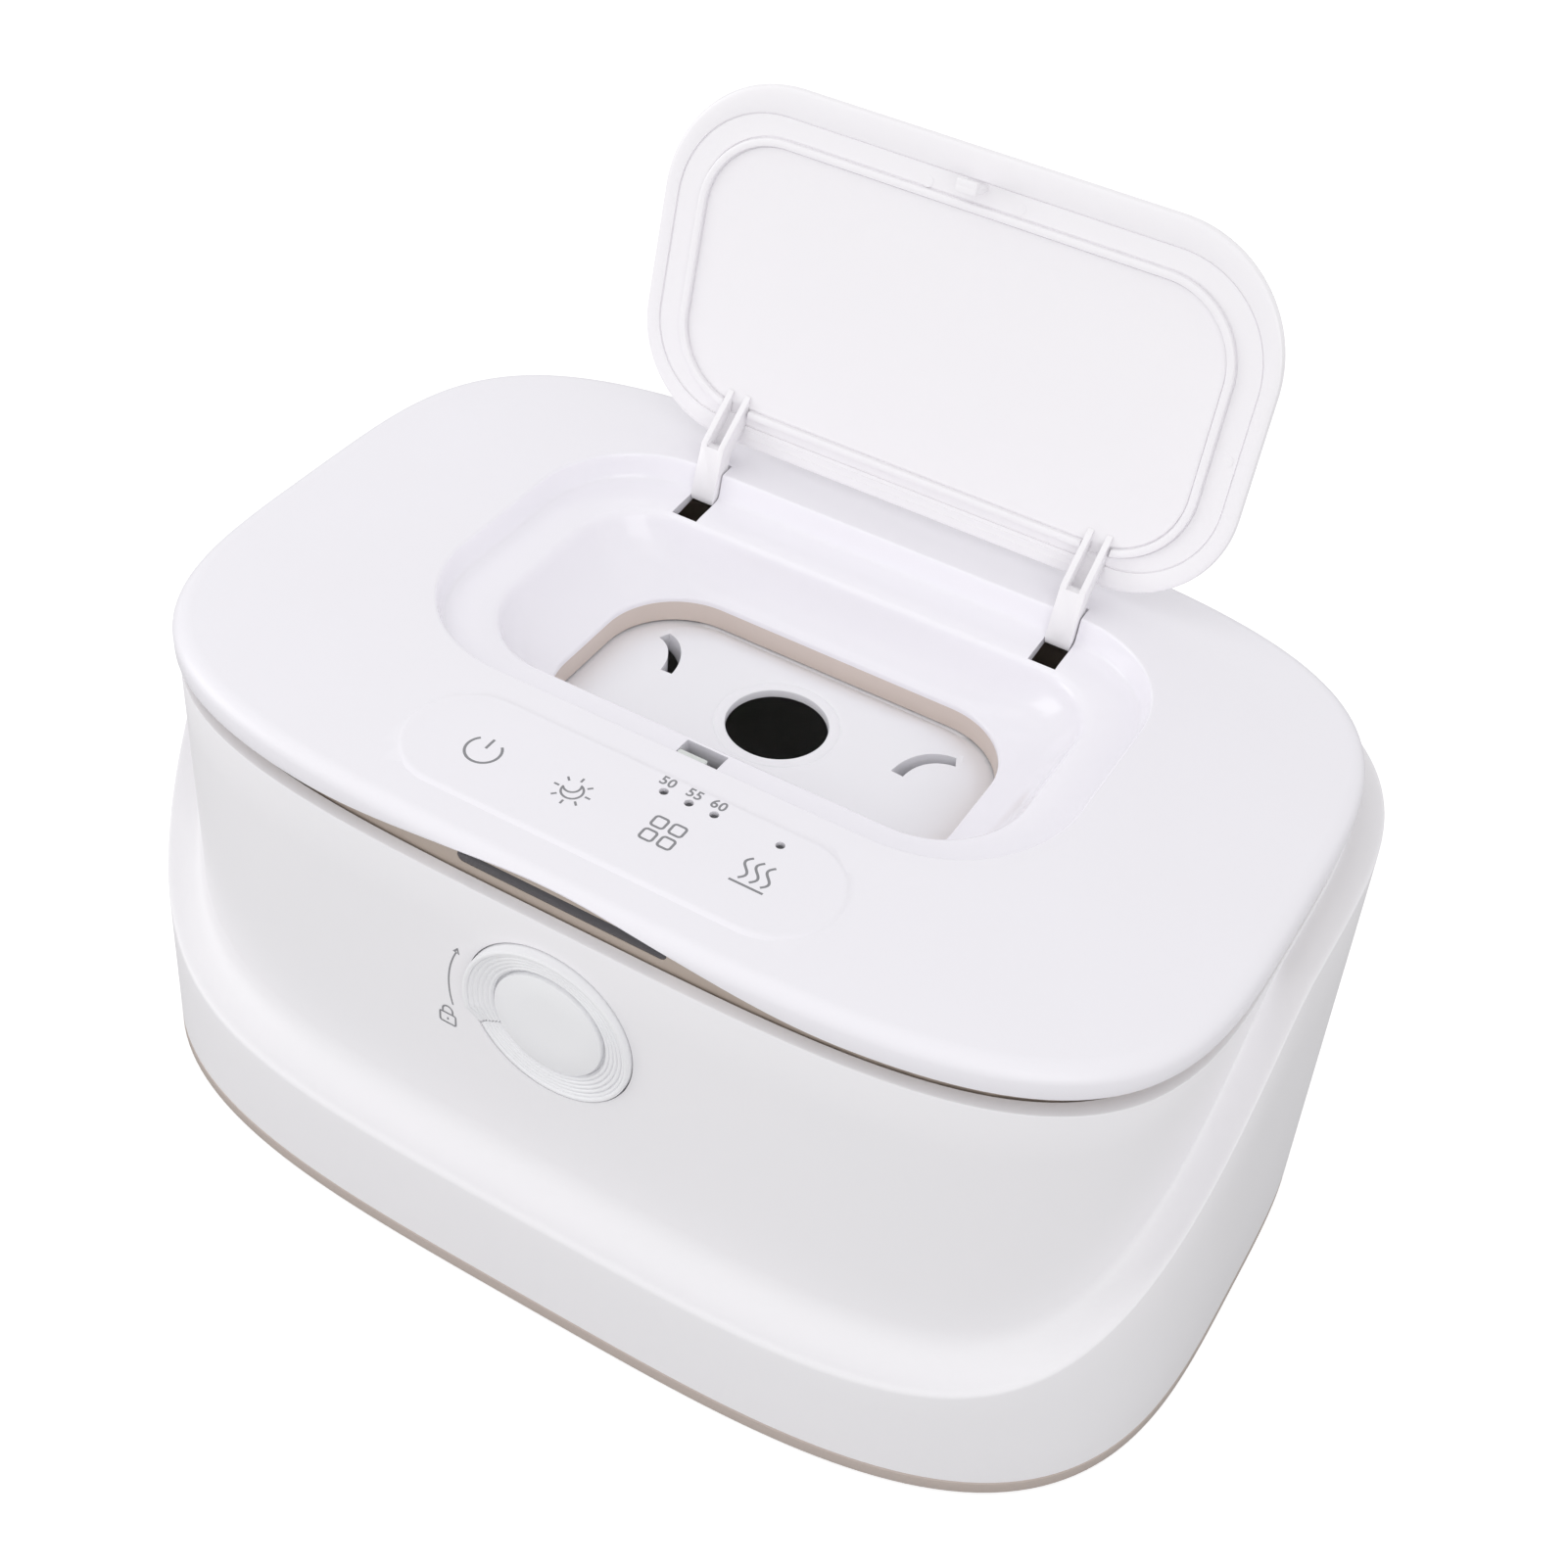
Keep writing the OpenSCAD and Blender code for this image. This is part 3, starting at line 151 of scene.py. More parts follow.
def block(low, high, edge=0.0):
    shape = bmesh.new()
    bmesh.ops.create_cube(shape, size=1)
    span = Vector(high) - Vector(low)
    middle = (Vector(high) + Vector(low)) / 2
    bmesh.ops.transform(shape, matrix=Matrix.Translation(middle * MM) @ Matrix.Diagonal((*(span * MM), 1)),
                        verts=shape.verts)
    if edge:
        bmesh.ops.bevel(shape, geom=shape.edges[:], offset=edge * MM, segments=3, profile=0.5,
                        affect="EDGES", material=-1)
    return solid(shape)


def meshed(obj):
    # The object's mesh with its modifiers, or its curves, worked out
    graph = bpy.context.evaluated_depsgraph_get()
    return bpy.data.meshes.new_from_object(obj.evaluated_get(graph))


def worked(target, others, operation="DIFFERENCE"):
    # Cuts the others out of the target, or joins them to it, and removes them
    for other in others:
        change = target.modifiers.new("work", "BOOLEAN")
        change.object = other
        change.operation = operation
        change.solver = "EXACT"
    mesh = meshed(target)
    target.modifiers.clear()
    target.data = mesh
    for other in others:
        bpy.data.objects.remove(other)
    return target


def ready(obj, name, material, body, nodes, crease=32):
    # Names the piece, gives it its finish and ties it to the part
    obj.name = name
    obj.data.name = name
    obj.data.materials.clear()
    obj.data.materials.append(material)
    obj.data.shade_smooth()
    obj.data.set_sharp_from_angle(angle=math.radians(crease))
    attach(obj, body)
    if nodes:
        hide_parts(*nodes)
    return obj


def colour(code):
    # A six-figure colour code as linear light
    parts = [int(code[i:i + 2], 16) / 255 for i in (0, 2, 4)]
    return [*((c / 12.92 if c <= 0.04045 else ((c + 0.055) / 1.055) ** 2.4) for c in parts), 1.0]


def add(owner, kind, settings, sockets):
    # Adds a shader node with its settings, and sets or links each named socket
    tree = owner.node_tree
    made = tree.nodes.new(kind)
    for name, value in settings.items():
        setattr(made, name, value)
    for name, value in sockets.items():
        if isinstance(value, bpy.types.NodeSocket):
            tree.links.new(value, made.inputs[name])
        else:
            made.inputs[name].default_value = value
    return made


def bare(name):
    material = bpy.data.materials.new(name)
    material.use_nodes = True
    material.node_tree.nodes.clear()
    return material


def plastic(name, code, shade, rough, grain=0.35, relief=0.004, through=0.0):
    # Moulded plastic: a colour that drifts slightly to its shade over some 38 mm, an even
    # gloss that drifts with it, and the mould's grain. Grain and relief are in mm, and the
    # grain is drawn coarser than the real one, so that it shows.
    material = bare(name)
    place = add(material, "ShaderNodeTexCoord", {}, {}).outputs["Object"]
    drift = add(material, "ShaderNodeTexNoise", {}, {
        "Vector": place, "Scale": 1 / (38 * MM), "Detail": 3.0}).outputs["Fac"]
    fine = add(material, "ShaderNodeTexNoise", {}, {
        "Vector": place, "Scale": 1 / (grain * MM), "Detail": 2.0}).outputs["Fac"]
    tint = add(material, "ShaderNodeMix", {"data_type": "RGBA"}, {
        0: drift, 6: colour(code), 7: colour(shade)})
    gloss = add(material, "ShaderNodeMapRange", {}, {
        "Value": drift, "To Min": rough * 0.92, "To Max": rough * 1.08})
    bump = add(material, "ShaderNodeBump", {}, {"Height": fine, "Strength": 0.35, "Distance": relief * MM})
    shader = add(material, "ShaderNodeBsdfPrincipled", {}, {
        "Base Color": tint.outputs[2], "Roughness": gloss.outputs[0], "Normal": bump.outputs[0],
        "IOR": 1.5, "Transmission Weight": through})
    add(material, "ShaderNodeOutputMaterial", {}, {"Surface": shader.outputs[0]})
    return material


# Satin taupe ABS, straight from a fine-grained mould: soft, without a clear reflection
taupe = plastic("taupe ABS, satin moulded", "c2b5ae", "bdb0a8", 0.36)
base = skin(around(
    skirt, (BAND[0], 0.5), (BAND[0] + 0.12, 0.15), BAND[0] + 0.5, BAND[1] - 0.3, (BAND[1], 0.3)))
tools = [disc((x, y, 0), FOOT_R, 0, RECESS) for x, y in corners(FOOT_AT)]
tools += [disc((x, y, 0), SCREW_R, 0, RECESS, count=48) for x, y in corners(SCREW_AT)]
tools += [block((VENT_PITCH * i - VENT_X, -VENT_Y, 0), (VENT_PITCH * i + VENT_X, VENT_Y, VENT_CUT))
          for i in range(-4, 5)]
ready(worked(base, tools), "base_band", taupe, "base", ["base_plate"])

# Lower housing: the one-piece white body, a drafted skirt with a hollow flare that climbs
# from the front to the back, and an upright wall above it. Injection moulded ABS with a
# satin face, a round recess for the knob and two pairs of hinge lugs at the back.
RIM_HALF = (111.0, 71.4)
RIM_POWER = 3.82
RIM_Z = 100.9
WALL_DRAFT = math.tan(math.radians(1.2))
CREASE_FRONT, CREASE_RUN, FLARE, LEDGE = 28.8, 78.0, 8.5, 99.8
SEAT_Z, SEAT_W, SEAT_T = 93.0, 3, 2.2
WALL = 2.6
KNOB_Z, KNOB_ROOM, SHAFT_ROOM = 76.0, 18.3, 6.05
FACE_Y = -(RIM_HALF[1] + (RIM_Z - KNOB_Z) * WALL_DRAFT)
HINGE_Y, HINGE_Z = 69.7, 103.2
LUGS, LUG_HALF, LUG_R = (44.5, 61.9), 2.5, 2.0
INLET_X, INLET_Z, INLET_R = 60, 15, 4.35
EAR_LOW, EAR_HIGH = 12, 18.4


def smooth(t):
    t = min(max(t, 0.0), 1.0)
    return t * t * (3 - 2 * t)


def upright(turn, z, inset=0.0):
    # The body's outer face above the flare
    drawn = (RIM_Z - z) * WALL_DRAFT - inset
    return (*squared(turn, RIM_HALF[0] + drawn, RIM_HALF[1] + drawn, RIM_POWER), z)


def climb(turn):
    # How far the crease has climbed: 0 at the front, 1 at the back
    return smooth((skirt(turn, BAND[1])[1] + BASE_HALF[1]) / CREASE_RUN)


def crease(turn):
    return mix(CREASE_FRONT, LEDGE, climb(turn))


def crease_foot(turn):
    # Height at which the crease's rounding starts, sharper where it has climbed
    return crease(turn) - mix(1.3, 0.35, climb(turn))


def below_crease(turn, share):
    return skirt(turn, mix(BAND[1] + 0.3, crease_foot(turn), share))


def flare_top(turn):
    return mix(CREASE_FRONT + FLARE, LEDGE + (RIM_Z - LEDGE) * 0.45, climb(turn))


def flare(turn, angle):
    # The hollow quarter round from the crease in to the wall
    c, w = Vector(skirt(turn, crease(turn))), Vector(upright(turn, flare_top(turn)))
    s, k = math.sin(math.radians(angle)), 1 - math.cos(math.radians(angle))
    return mix(c.x, w.x, s), mix(c.y, w.y, s), mix(c.z, w.z, k)


def crease_round(turn, t):
    # The small rounding between the skirt and the flare
    a = Vector(skirt(turn, crease_foot(turn)))
    b, c = Vector(skirt(turn, crease(turn))), Vector(flare(turn, 11))
    return a * (1 - t) ** 2 + b * 2 * t * (1 - t) + c * t * t


def above_flare(turn, share):
    return upright(turn, mix(flare_top(turn), RIM_Z - 0.4, share))


def seat(turn, z, inset=0.0):
    # The inner face of the rim, where the tank's flange sits
    return (*squared(turn, RIM_HALF[0] - WALL - inset, RIM_HALF[1] - WALL - inset, RIM_POWER), z)


def inner(turn, row):
    # The inside of the wall, in five rows from under the seat down to the base band
    s = smooth((climb(turn) - 0.8) / 0.2)
    z = [SEAT_Z - 5, flare_top(turn) - 0.5, flare_top(turn) - 4.5, crease(turn) - WALL, BAND[1]]
    for i in range(1, 4):
        z[i] = min(z[i], z[i - 1] - 0.6)
    mid = Vector(flare(turn, 45))
    under_flare = tuple(mid.xy * (1 - WALL * 0.75 / mid.xy.length))
    a = [seat(turn, z[0], -0.3), upright(turn, z[1], WALL), under_flare, skirt(turn, z[3], WALL),
         skirt(turn, z[4], WALL)][row]
    b = skirt(turn, z[row], WALL)
    return mix(a[0], b[0], s), mix(a[1], b[1], s), z[row]


# White ABS with a satin, very fine spark-eroded grain: it takes broad, soft lights
body_white = plastic("white ABS, satin moulded", "f1eff2", "eeedf0", 0.38)
housing = skin(
    around(skirt, (BAND[1], 0.35), BAND[1] + 0.3) + around(below_crease, *(k / 4 for k in (1, 2, 3)))
    + around(crease_round, *(k / 6 for k in range(7))) + around(flare, *range(17, 90, 6))
    + around(above_flare, *(k / 5 for k in range(6))) + around(upright, (RIM_Z - 0.12, 0.12), (RIM_Z, 0.4))
    + around(seat, RIM_Z, SEAT_Z, (SEAT_Z, SEAT_W), (SEAT_Z - SEAT_T, SEAT_W)) + around(inner, *range(5)),
    closed=True)
housing = worked(housing, [
    disc((0, 0, KNOB_Z), KNOB_ROOM, FACE_Y - 6, FACE_Y + 1.2, "Y", 160),
    disc((0, 0, KNOB_Z), SHAFT_ROOM, FACE_Y, FACE_Y + 9, "Y", 64),
    disc((INLET_X, 0, INLET_Z), INLET_R, 60, 90, "Y", 64),
    block((EAR_LOW, -68.8, 88), (EAR_HIGH, -60.8, 98))])
lugs = []
for side in (-1, 1):
    for x in LUGS:
        low, high = side * x - LUG_HALF, side * x + LUG_HALF
        lugs.append(disc((0, HINGE_Y, HINGE_Z), LUG_R, low, high, "X", 64))
        lugs.append(block((low, 68.8, 96.9), (high, 71.7, HINGE_Z)))
housing = worked(housing, lugs, "UNION")
ready(housing, "housing_shell", body_white, "base", ["lower_housing"])

# Feet: four black rubber pads pressed into recesses of the base plate. They and the other
# small hard parts, such as pins and screws, keep their built shape, with the small rounded
# edges that moulds and tools leave.


def softened(node, name, material, body, edge=0.2, crease=32):
    # A merged copy of a built piece, its sharp edges rounded, stands in for it
    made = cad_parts[node].copy()
    made.data = made.data.copy()
    bpy.context.scene.collection.objects.link(made)
    shape = bmesh.new()
    shape.from_mesh(made.data)
    bmesh.ops.remove_doubles(shape, verts=shape.verts, dist=1e-6)
    bmesh.ops.dissolve_limit(shape, angle_limit=math.radians(1), verts=shape.verts, edges=shape.edges)
    if edge:
        sharp = [e for e in shape.edges
                 if len(e.link_faces) == 2 and e.calc_face_angle() > math.radians(40)]
        bmesh.ops.bevel(shape, geom=sharp, offset=edge * MM, segments=2, profile=0.5, affect="EDGES",
                        clamp_overlap=True, material=-1)
    bmesh.ops.recalc_face_normals(shape, faces=shape.faces)
    shape.to_mesh(made.data)
    shape.free()
    return ready(made, name, material, body, [node], crease)


# Matt rubber, which hardly reflects
rubber = plastic("black rubber, matt moulded", "2c2c2e", "343436", 0.75, grain=0.6, relief=0.02)
for corner in ("front_left", "front_right", "rear_left", "rear_right"):
    softened("foot_" + corner, "rubber_foot_" + corner, rubber, "base", 0.3)

# Inner tank: a separate white tub that hangs by its flange on the housing's seat. Moulded
# polypropylene, a little duller than the body, with a notch for the lid's ear in front.
TANK_HALF = (102.0, 58.5)
TANK_POWER = 4.6
TANK_FLOOR, TANK_T = 26, 2
FLANGE_Z = 95.0


def tub(turn, z, inset=0.0):
    return (*squared(turn, TANK_HALF[0] - inset, TANK_HALF[1] - inset, TANK_POWER), z)


# Polypropylene, slightly waxy
tank_white = plastic("white polypropylene, moulded", "e9e8e7", "e5e4e3", 0.45)
tank = skin(
    around(tub, (TANK_FLOOR, 3), (26.2, 1.2), (26.9, 0.3), 28.5, 60, 94.4, (94.85, -0.15), (FLANGE_Z, -0.6))
    + around(seat, (FLANGE_Z, 0.7), (94.8, 0.3), (SEAT_Z, 0.3))
    + around(tub, (SEAT_Z, -TANK_T), (60, -TANK_T), (TANK_FLOOR, -TANK_T), (24.3, -1.2),
             TANK_FLOOR - TANK_T))
tank = worked(tank, [block((EAR_LOW, -71.4, 92), (EAR_HIGH, -60.4, 97))])
ready(tank, "tank_tub", tank_white, "base", ["inner_tank"])

# Sponge mat: a dark pad of open-cell foam on the tank's floor, cut from sheet, which holds
# the water that keeps the wipes moist. It lies loose.


def sponge(name):
    # Open-cell foam: dark and rough, with pores of about a millimetre
    material = bare(name)
    place = add(material, "ShaderNodeTexCoord", {}, {}).outputs["Object"]
    pores = add(material, "ShaderNodeTexVoronoi", {}, {
        "Vector": place, "Scale": 1 / (1.1 * MM)}).outputs["Distance"]
    tone = add(material, "ShaderNodeMix", {"data_type": "RGBA"}, {
        0: pores, 6: colour("141416"), 7: colour("2e2e31")})
    bump = add(material, "ShaderNodeBump", {}, {"Height": pores, "Strength": 0.8, "Distance": 0.5 * MM})
    shader = add(material, "ShaderNodeBsdfPrincipled", {}, {
        "Base Color": tone.outputs[2], "Roughness": 0.95, "Normal": bump.outputs[0]})
    add(material, "ShaderNodeOutputMaterial", {}, {"Surface": shader.outputs[0]})
    return material


softened("moisture_mat", "sponge_mat", sponge("charcoal sponge, open cells"), "base", 0.5)

# Press plate: a thin white plate that lies on the wipes, domed up into the opening, with the
# round dispensing hole in a shallow groove and two curved grip slots. Moulded in one piece.
PRESS_HALF, PRESS_TOP, PRESS_T, PRESS_RIM = (98.0, 54.0), 87.4, 1.8, 4.8
OPEN_HALF, OPEN_R, OPEN_Y = (44.5, 25.05), 17.2, 5.4
DOME_H, DOME_GAP, DOME_FLAT = 4.0, 0.6, 0.6
HOLE_R, HOLE_Y, GROOVE_R = 10.4, 7.3, 13.3
GRIP_X, GRIP_Y, GRIP_R, GRIP_W = 39.7, 7.7, 12.7, 2.7
GRIP_FROM, GRIP_TO = 114, 178


def rounded(turn, half_x, half_y, back, front, y=0.0):
    # A point on a rounded rectangle with its own corner radii at the back and the front
    c, s = math.cos(math.tau * turn) * half_x, math.sin(math.tau * turn) * half_y
    r = back if s > 0 else front
    k = min(half_x / max(abs(c), 1e-9), half_y / max(abs(s), 1e-9))
    px, py = abs(c) * k, abs(s) * k
    cx, cy = half_x - r, half_y - r
    if px > cx and py > cy:
        # Where the ray meets the corner's arc
        u, v = abs(c), abs(s)
        a, b, d = u * u + v * v, u * cx + v * cy, cx * cx + cy * cy - r * r
        k = (b + math.sqrt(max(0.0, b * b - a * d))) / a
        px, py = u * k, v * k
    return math.copysign(px, c), y + math.copysign(py, s)


def dome_edge(turn, y=0.0):
    return Vector(rounded(turn, OPEN_HALF[0] - DOME_GAP, OPEN_HALF[1] - DOME_GAP, OPEN_R, OPEN_R, y))


def dome(x, y):
    # Height of the dome over the plate at a place
    dx, dy = x, y - OPEN_Y
    if dx == dy == 0:
        return DOME_H
    turn = math.atan2(dy / (OPEN_HALF[1] - DOME_GAP), dx / (OPEN_HALF[0] - DOME_GAP)) / math.tau
    u = Vector((dx, dy)).length / dome_edge(turn).length
    return DOME_H * (1 - max(0.0, (u - DOME_FLAT) / (1 - DOME_FLAT)) ** 2) if u < 1 else 0.0


def round_hole(turn, radius, drop):
    x, y = radius * math.cos(math.tau * turn), HOLE_Y + radius * math.sin(math.tau * turn)
    return x, y, PRESS_TOP + dome(x, y) - drop


def plate_at(turn, share, drop):
    # The dome's face between the groove and its edge
    p = Vector(round_hole(turn, GROOVE_R, 0)[:2]).lerp(dome_edge(turn, OPEN_Y), share)
    return p.x, p.y, PRESS_TOP + dome(p.x, p.y) - drop


def plate_edge(turn, inset, drop):
    return (*squared(turn, PRESS_HALF[0] - inset, PRESS_HALF[1] - inset, TANK_POWER), PRESS_TOP - drop)


def grip(turn, z, side, wider=0.0):
    # Outline of a curved slot: two arcs with straight ends
    start, stop = math.radians(GRIP_FROM) - wider / GRIP_R, math.radians(GRIP_TO) + wider / GRIP_R
    if turn < 0.5:
        a, q = mix(start, stop, turn / 0.48), GRIP_R + GRIP_W / 2 + wider
    else:
        a, q = mix(stop, start, (turn - 0.5) / 0.48), GRIP_R - GRIP_W / 2 - wider
    a = min(max(a, start), stop)
    return side * (GRIP_X + q * math.cos(a)), GRIP_Y + q * math.sin(a), z


def grip_prism(low, high, side, wider=0.0):
    return skin(around(grip, (low, side, wider), (high, side, wider)), count=120)


# Glossier polypropylene, from a polished mould
plate_white = plastic("white polypropylene, semi-gloss moulded", "f4f3f7", "f2f1f5", 0.28)
plate = skin(
    around(round_hole, (HOLE_R, PRESS_T), (HOLE_R, 0.35), (HOLE_R + 0.12, 0.1), (HOLE_R + 0.4, 0),
           (12.3, 0), (12.55, 0.06), (12.8, 0.2), (13.05, 0.06))
    + around(plate_at, *((k / 14, 0) for k in range(15)))
    + around(plate_edge, (4, 0), (0.5, 0), (0.12, 0.12), (0, 0.5), (0, PRESS_RIM), (1.6, PRESS_RIM),
             (1.6, PRESS_T))
    + around(plate_at, *((k / 7, PRESS_T) for k in range(7, -1, -1))), closed=True)
# A short collar stands round each slot under the plate
worked(plate, [grip_prism(85.4, 89.6, side, 1.2) for side in (-1, 1)], "UNION")
worked(plate, [grip_prism(84, 94, side) for side in (-1, 1)])
ready(plate, "press_plate_domed", plate_white, "press", ["press_plate"])

# Knob: a white turning ring whose rim climbs round like a ramp to one step, stepped inwards
# in fine terraces, round a plain cap. Moulded ABS, the cap pressed into the ring.
KNOB_BACK = FACE_Y + 1.05
KNOB_R, TERRACES_FROM, TERRACES_TO, TERRACES = 18.0, 16.9, 12.25, 5
STEP = 210.0
RAMP_LOW, RAMP_HIGH = 0.25, 2.4
CAP_R, CAP_FRONT = 11.75, FACE_Y - 0.7


def knob_section(height):
    # Radius and depth along one radial section, from the back of the rim to the cap's gap
    top = FACE_Y - height
    points = [(KNOB_R, KNOB_BACK), (KNOB_R, top + 0.5), (17.86, top + 0.15), (17.55, top),
              (17.25, top + 0.03), (17.0, top + 0.2)]
    run = (TERRACES_FROM - TERRACES_TO) / TERRACES
    for k in range(TERRACES):
        y = FACE_Y - mix(height - 0.45, 0.12, (k + 0.4) / TERRACES)
        r = TERRACES_FROM - k * run
        points += [(r - run * back, y + deep) for back, deep in (
            (0, 0), (0.1, -0.1), (0.3, -0.14), (0.55, -0.06), (0.7, 0.1), (0.8, 0.3), (0.92, 0.3))]
    return points + [(TERRACES_TO, FACE_Y + 0.45), (TERRACES_TO, KNOB_BACK)]


def knob_height(share):
    # The rim climbs evenly round the knob, then falls along a short slope to a small step
    end = max(0.0, (share - 0.955) / 0.045)
    return mix(RAMP_LOW, RAMP_HIGH, share) - 1.95 * end


PER_SECTION = len(knob_section(1))


def knob_ring(turn, share):
    r, y = knob_section(knob_height(share))[round(turn * PER_SECTION) % PER_SECTION]
    a = math.radians(STEP + 360 * (0.002 + 0.996 * share))
    return r * math.cos(a), y, KNOB_Z + r * math.sin(a)


def wheel(turn, radius, y):
    return radius * math.cos(math.tau * turn), y, KNOB_Z + radius * math.sin(math.tau * turn)


# Semi-gloss ABS, so that each terrace draws a thin light
knob_white = plastic("white ABS, semi-gloss knob", "f1f1f3", "eeeef1", 0.3)
shape = bmesh.new()
grown(shape, around(knob_ring, *(k / 180 for k in range(181))), count=PER_SECTION)
grown(shape, around(wheel, (12.5, KNOB_BACK - 0.3), (12.5, KNOB_BACK)), count=120)
grown(shape, around(wheel, (6, KNOB_BACK - 0.1), (6, FACE_Y + 3)), count=60)
ready(solid(shape), "knob_ramp_ring", knob_white, "knob", ["knob_ring"], 28)
cap = skin(around(wheel, (CAP_R, FACE_Y + 0.75), (CAP_R, CAP_FRONT + 0.28), (CAP_R - 0.07, CAP_FRONT + 0.1),
                  (CAP_R - 0.25, CAP_FRONT), (6, CAP_FRONT)), count=180)
ready(cap, "knob_disc", knob_white, "knob", ["knob_cap"])

# Lid cover: the white top shell with a rolled edge that arches up at the front, a raised
# pill-shaped touch pad with four lamp holes, and the bowl that falls to the opening. One
# moulding, satin outside and polished in the bowl.
LID_HALF = (111.4, 72.0)
LID_LOW, LID_TOP, CROWN, ROLL = 105.6, 112.8, 0.5, 3.4
ROLL_Z = LID_TOP - CROWN - ROLL
ARCH_H, ARCH_HALF = 4.9, 58
BOWL_HALF = (68.5, 39.35)
BOWL_BACK, BOWL_FRONT, BOWL_Y = 23.9, 27.8, 8.2
CORNER_FROM, FALL_FROM, FALL_RUN = 8.8, 11, 13
PANEL_HALF, PANEL_R, PANEL_Y, PANEL_Z = (45.9, 13.5), 13.49, -50.25, 112.98
LAMPS, LAMP_Y, LAMP_R = (4.15, 9.45, 14.75, 28.35), -41.9, 0.9
ARM_X, SLOT = 42, 3.0


def lid_edge(turn, inset, z):
    return (*squared(turn, LID_HALF[0] - inset, LID_HALF[1] - inset, RIM_POWER), z)


def lid_lower(turn):
    # Height of the lid's lower edge, with its arch at the front
    x, y, _ = lid_edge(turn, 0, 0)
    arched = y < 0 and abs(x) < ARCH_HALF
    return LID_LOW + (ARCH_H * math.cos(math.pi * x / (2 * ARCH_HALF)) ** 2 if arched else 0)


def rolled(turn, share):
    # The rolled edge, from its foot to the crown
    start = math.asin(max(0.0, lid_lower(turn) - ROLL_Z) / ROLL)
    a = mix(start, math.pi / 2, share)
    return lid_edge(turn, ROLL * (1 - math.cos(a)), ROLL_Z + ROLL * math.sin(a))


def lid_foot(turn, inset, rise):
    low = lid_lower(turn)
    at = ROLL * (1 - math.cos(math.asin(max(0.0, low - ROLL_Z) / ROLL)))
    return lid_edge(turn, at + inset, low + rise)


def crown(turn, share):
    # The top, which rises slightly from the rolled edge to the bowl
    p = Vector(lid_edge(turn, ROLL, LID_TOP - CROWN)).lerp(Vector(bowl(turn, -0.9, LID_TOP)), share)
    return p.x, p.y, LID_TOP - CROWN * (1 - share) ** 3


def bowl(turn, inset, z):
    # The bowl keeps its own outline to the ledge and turns into the opening's below it
    if inset <= FALL_FROM:
        corner = min(inset, CORNER_FROM)
        return (*rounded(turn, BOWL_HALF[0] - inset, BOWL_HALF[1] - inset, BOWL_BACK - corner,
                         BOWL_FRONT - corner, BOWL_Y), z)
    a = Vector(bowl(turn, FALL_FROM, z))
    b = Vector((*rounded(turn, *OPEN_HALF, OPEN_R, OPEN_R, OPEN_Y), z))
    return tuple(a.lerp(b, (inset - FALL_FROM) / FALL_RUN))


def eased(points, times):
    # Cuts the corners of a profile, keeping its ends
    for _ in range(times):
        cut = [points[0]]
        for a, b in zip(points, points[1:]):
            cut += [(mix(a[0], b[0], t), mix(a[1], b[1], t)) for t in (0.25, 0.75)]
        points = cut + [points[-1]]
    return points


def polish_and_paint_light_inside(material, half_x, half_y, low, rough, code):
    # Where the mould makes the bowl it is polished: inside an outline about the bowl's middle
    # and below a height the finish is glossier, and the colour there is painted lighter to lift
    # the shade that falls in the hollow
    shader = next(n for n in material.node_tree.nodes if n.type == "BSDF_PRINCIPLED")
    place = add(material, "ShaderNodeTexCoord", {}, {}).outputs["Object"]
    at = add(material, "ShaderNodeSeparateXYZ", {}, {0: place})
    from_middle = add(material, "ShaderNodeMath", {"operation": "SUBTRACT"}, {
        0: at.outputs["Y"], 1: BOWL_Y * MM})
    gloss_and_painted_light_mask = add(material, "ShaderNodeMath", {"operation": "LESS_THAN"}, {0: at.outputs["Z"], 1: low * MM})
    for value, half in ((at.outputs["X"], half_x), (from_middle.outputs[0], half_y)):
        size_of = add(material, "ShaderNodeMath", {"operation": "ABSOLUTE"}, {0: value})
        near = add(material, "ShaderNodeMath", {"operation": "LESS_THAN"}, {
            0: size_of.outputs[0], 1: half * MM})
        gloss_and_painted_light_mask = add(material, "ShaderNodeMath", {"operation": "MULTIPLY"}, {
            0: gloss_and_painted_light_mask.outputs[0], 1: near.outputs[0]})
    gloss = add(material, "ShaderNodeMix", {"data_type": "FLOAT"}, {
        0: gloss_and_painted_light_mask.outputs[0], 2: shader.inputs["Roughness"].links[0].from_socket, 3: rough})
    material.node_tree.links.new(gloss.outputs[0], shader.inputs["Roughness"])
    # The lighter colour mixed in here is painted light that lifts the shade, not the plastic's own tone
    tone = add(material, "ShaderNodeMix", {"data_type": "RGBA"}, {
        0: gloss_and_painted_light_mask.outputs[0], 6: shader.inputs["Base Color"].links[0].from_socket, 7: colour(code)})
    material.node_tree.links.new(tone.outputs[2], shader.inputs["Base Color"])


def panel(turn, inset, z):
    r = PANEL_R - inset
    return (*rounded(turn, PANEL_HALF[0] - inset, PANEL_HALF[1] - inset, r, r, PANEL_Y), z)


# Satin ABS, a shade cooler than the body
lid_white = plastic("white ABS, satin lid, bowl painted lighter", "f3f1f7", "f1eff4", 0.36)
# The bowl is polished, and its colour is painted lighter to lift the shade in the hollow
polish_and_paint_light_inside(lid_white, BOWL_HALF[0] + 0.5, BOWL_HALF[1] + 0.5, 112.72, 0.14, "f7f5fb")
bowl_profile = eased([
    (-0.9, 112.8), (-0.3, 112.78), (0.1, 112.35), (0.9, 108.0), (1.7, 107.1), (5.0, 106.9),
    (8.8, 106.8), (11.0, 106.3), (12.56, 102.2), (15.55, 98.3), (19.84, 95.3), (23.1, 94.0),
    (24.0, 93.6), (24.0, 92.6)], 3)
under_bowl = [(21.8, 92.6), (20.6, 94.2), (13.4, 97.8), (8.8, 104.6), (6.6, 104.7), (-1.6, 105.6),
              (-2.2, 110.2), (-3, 110.4)]
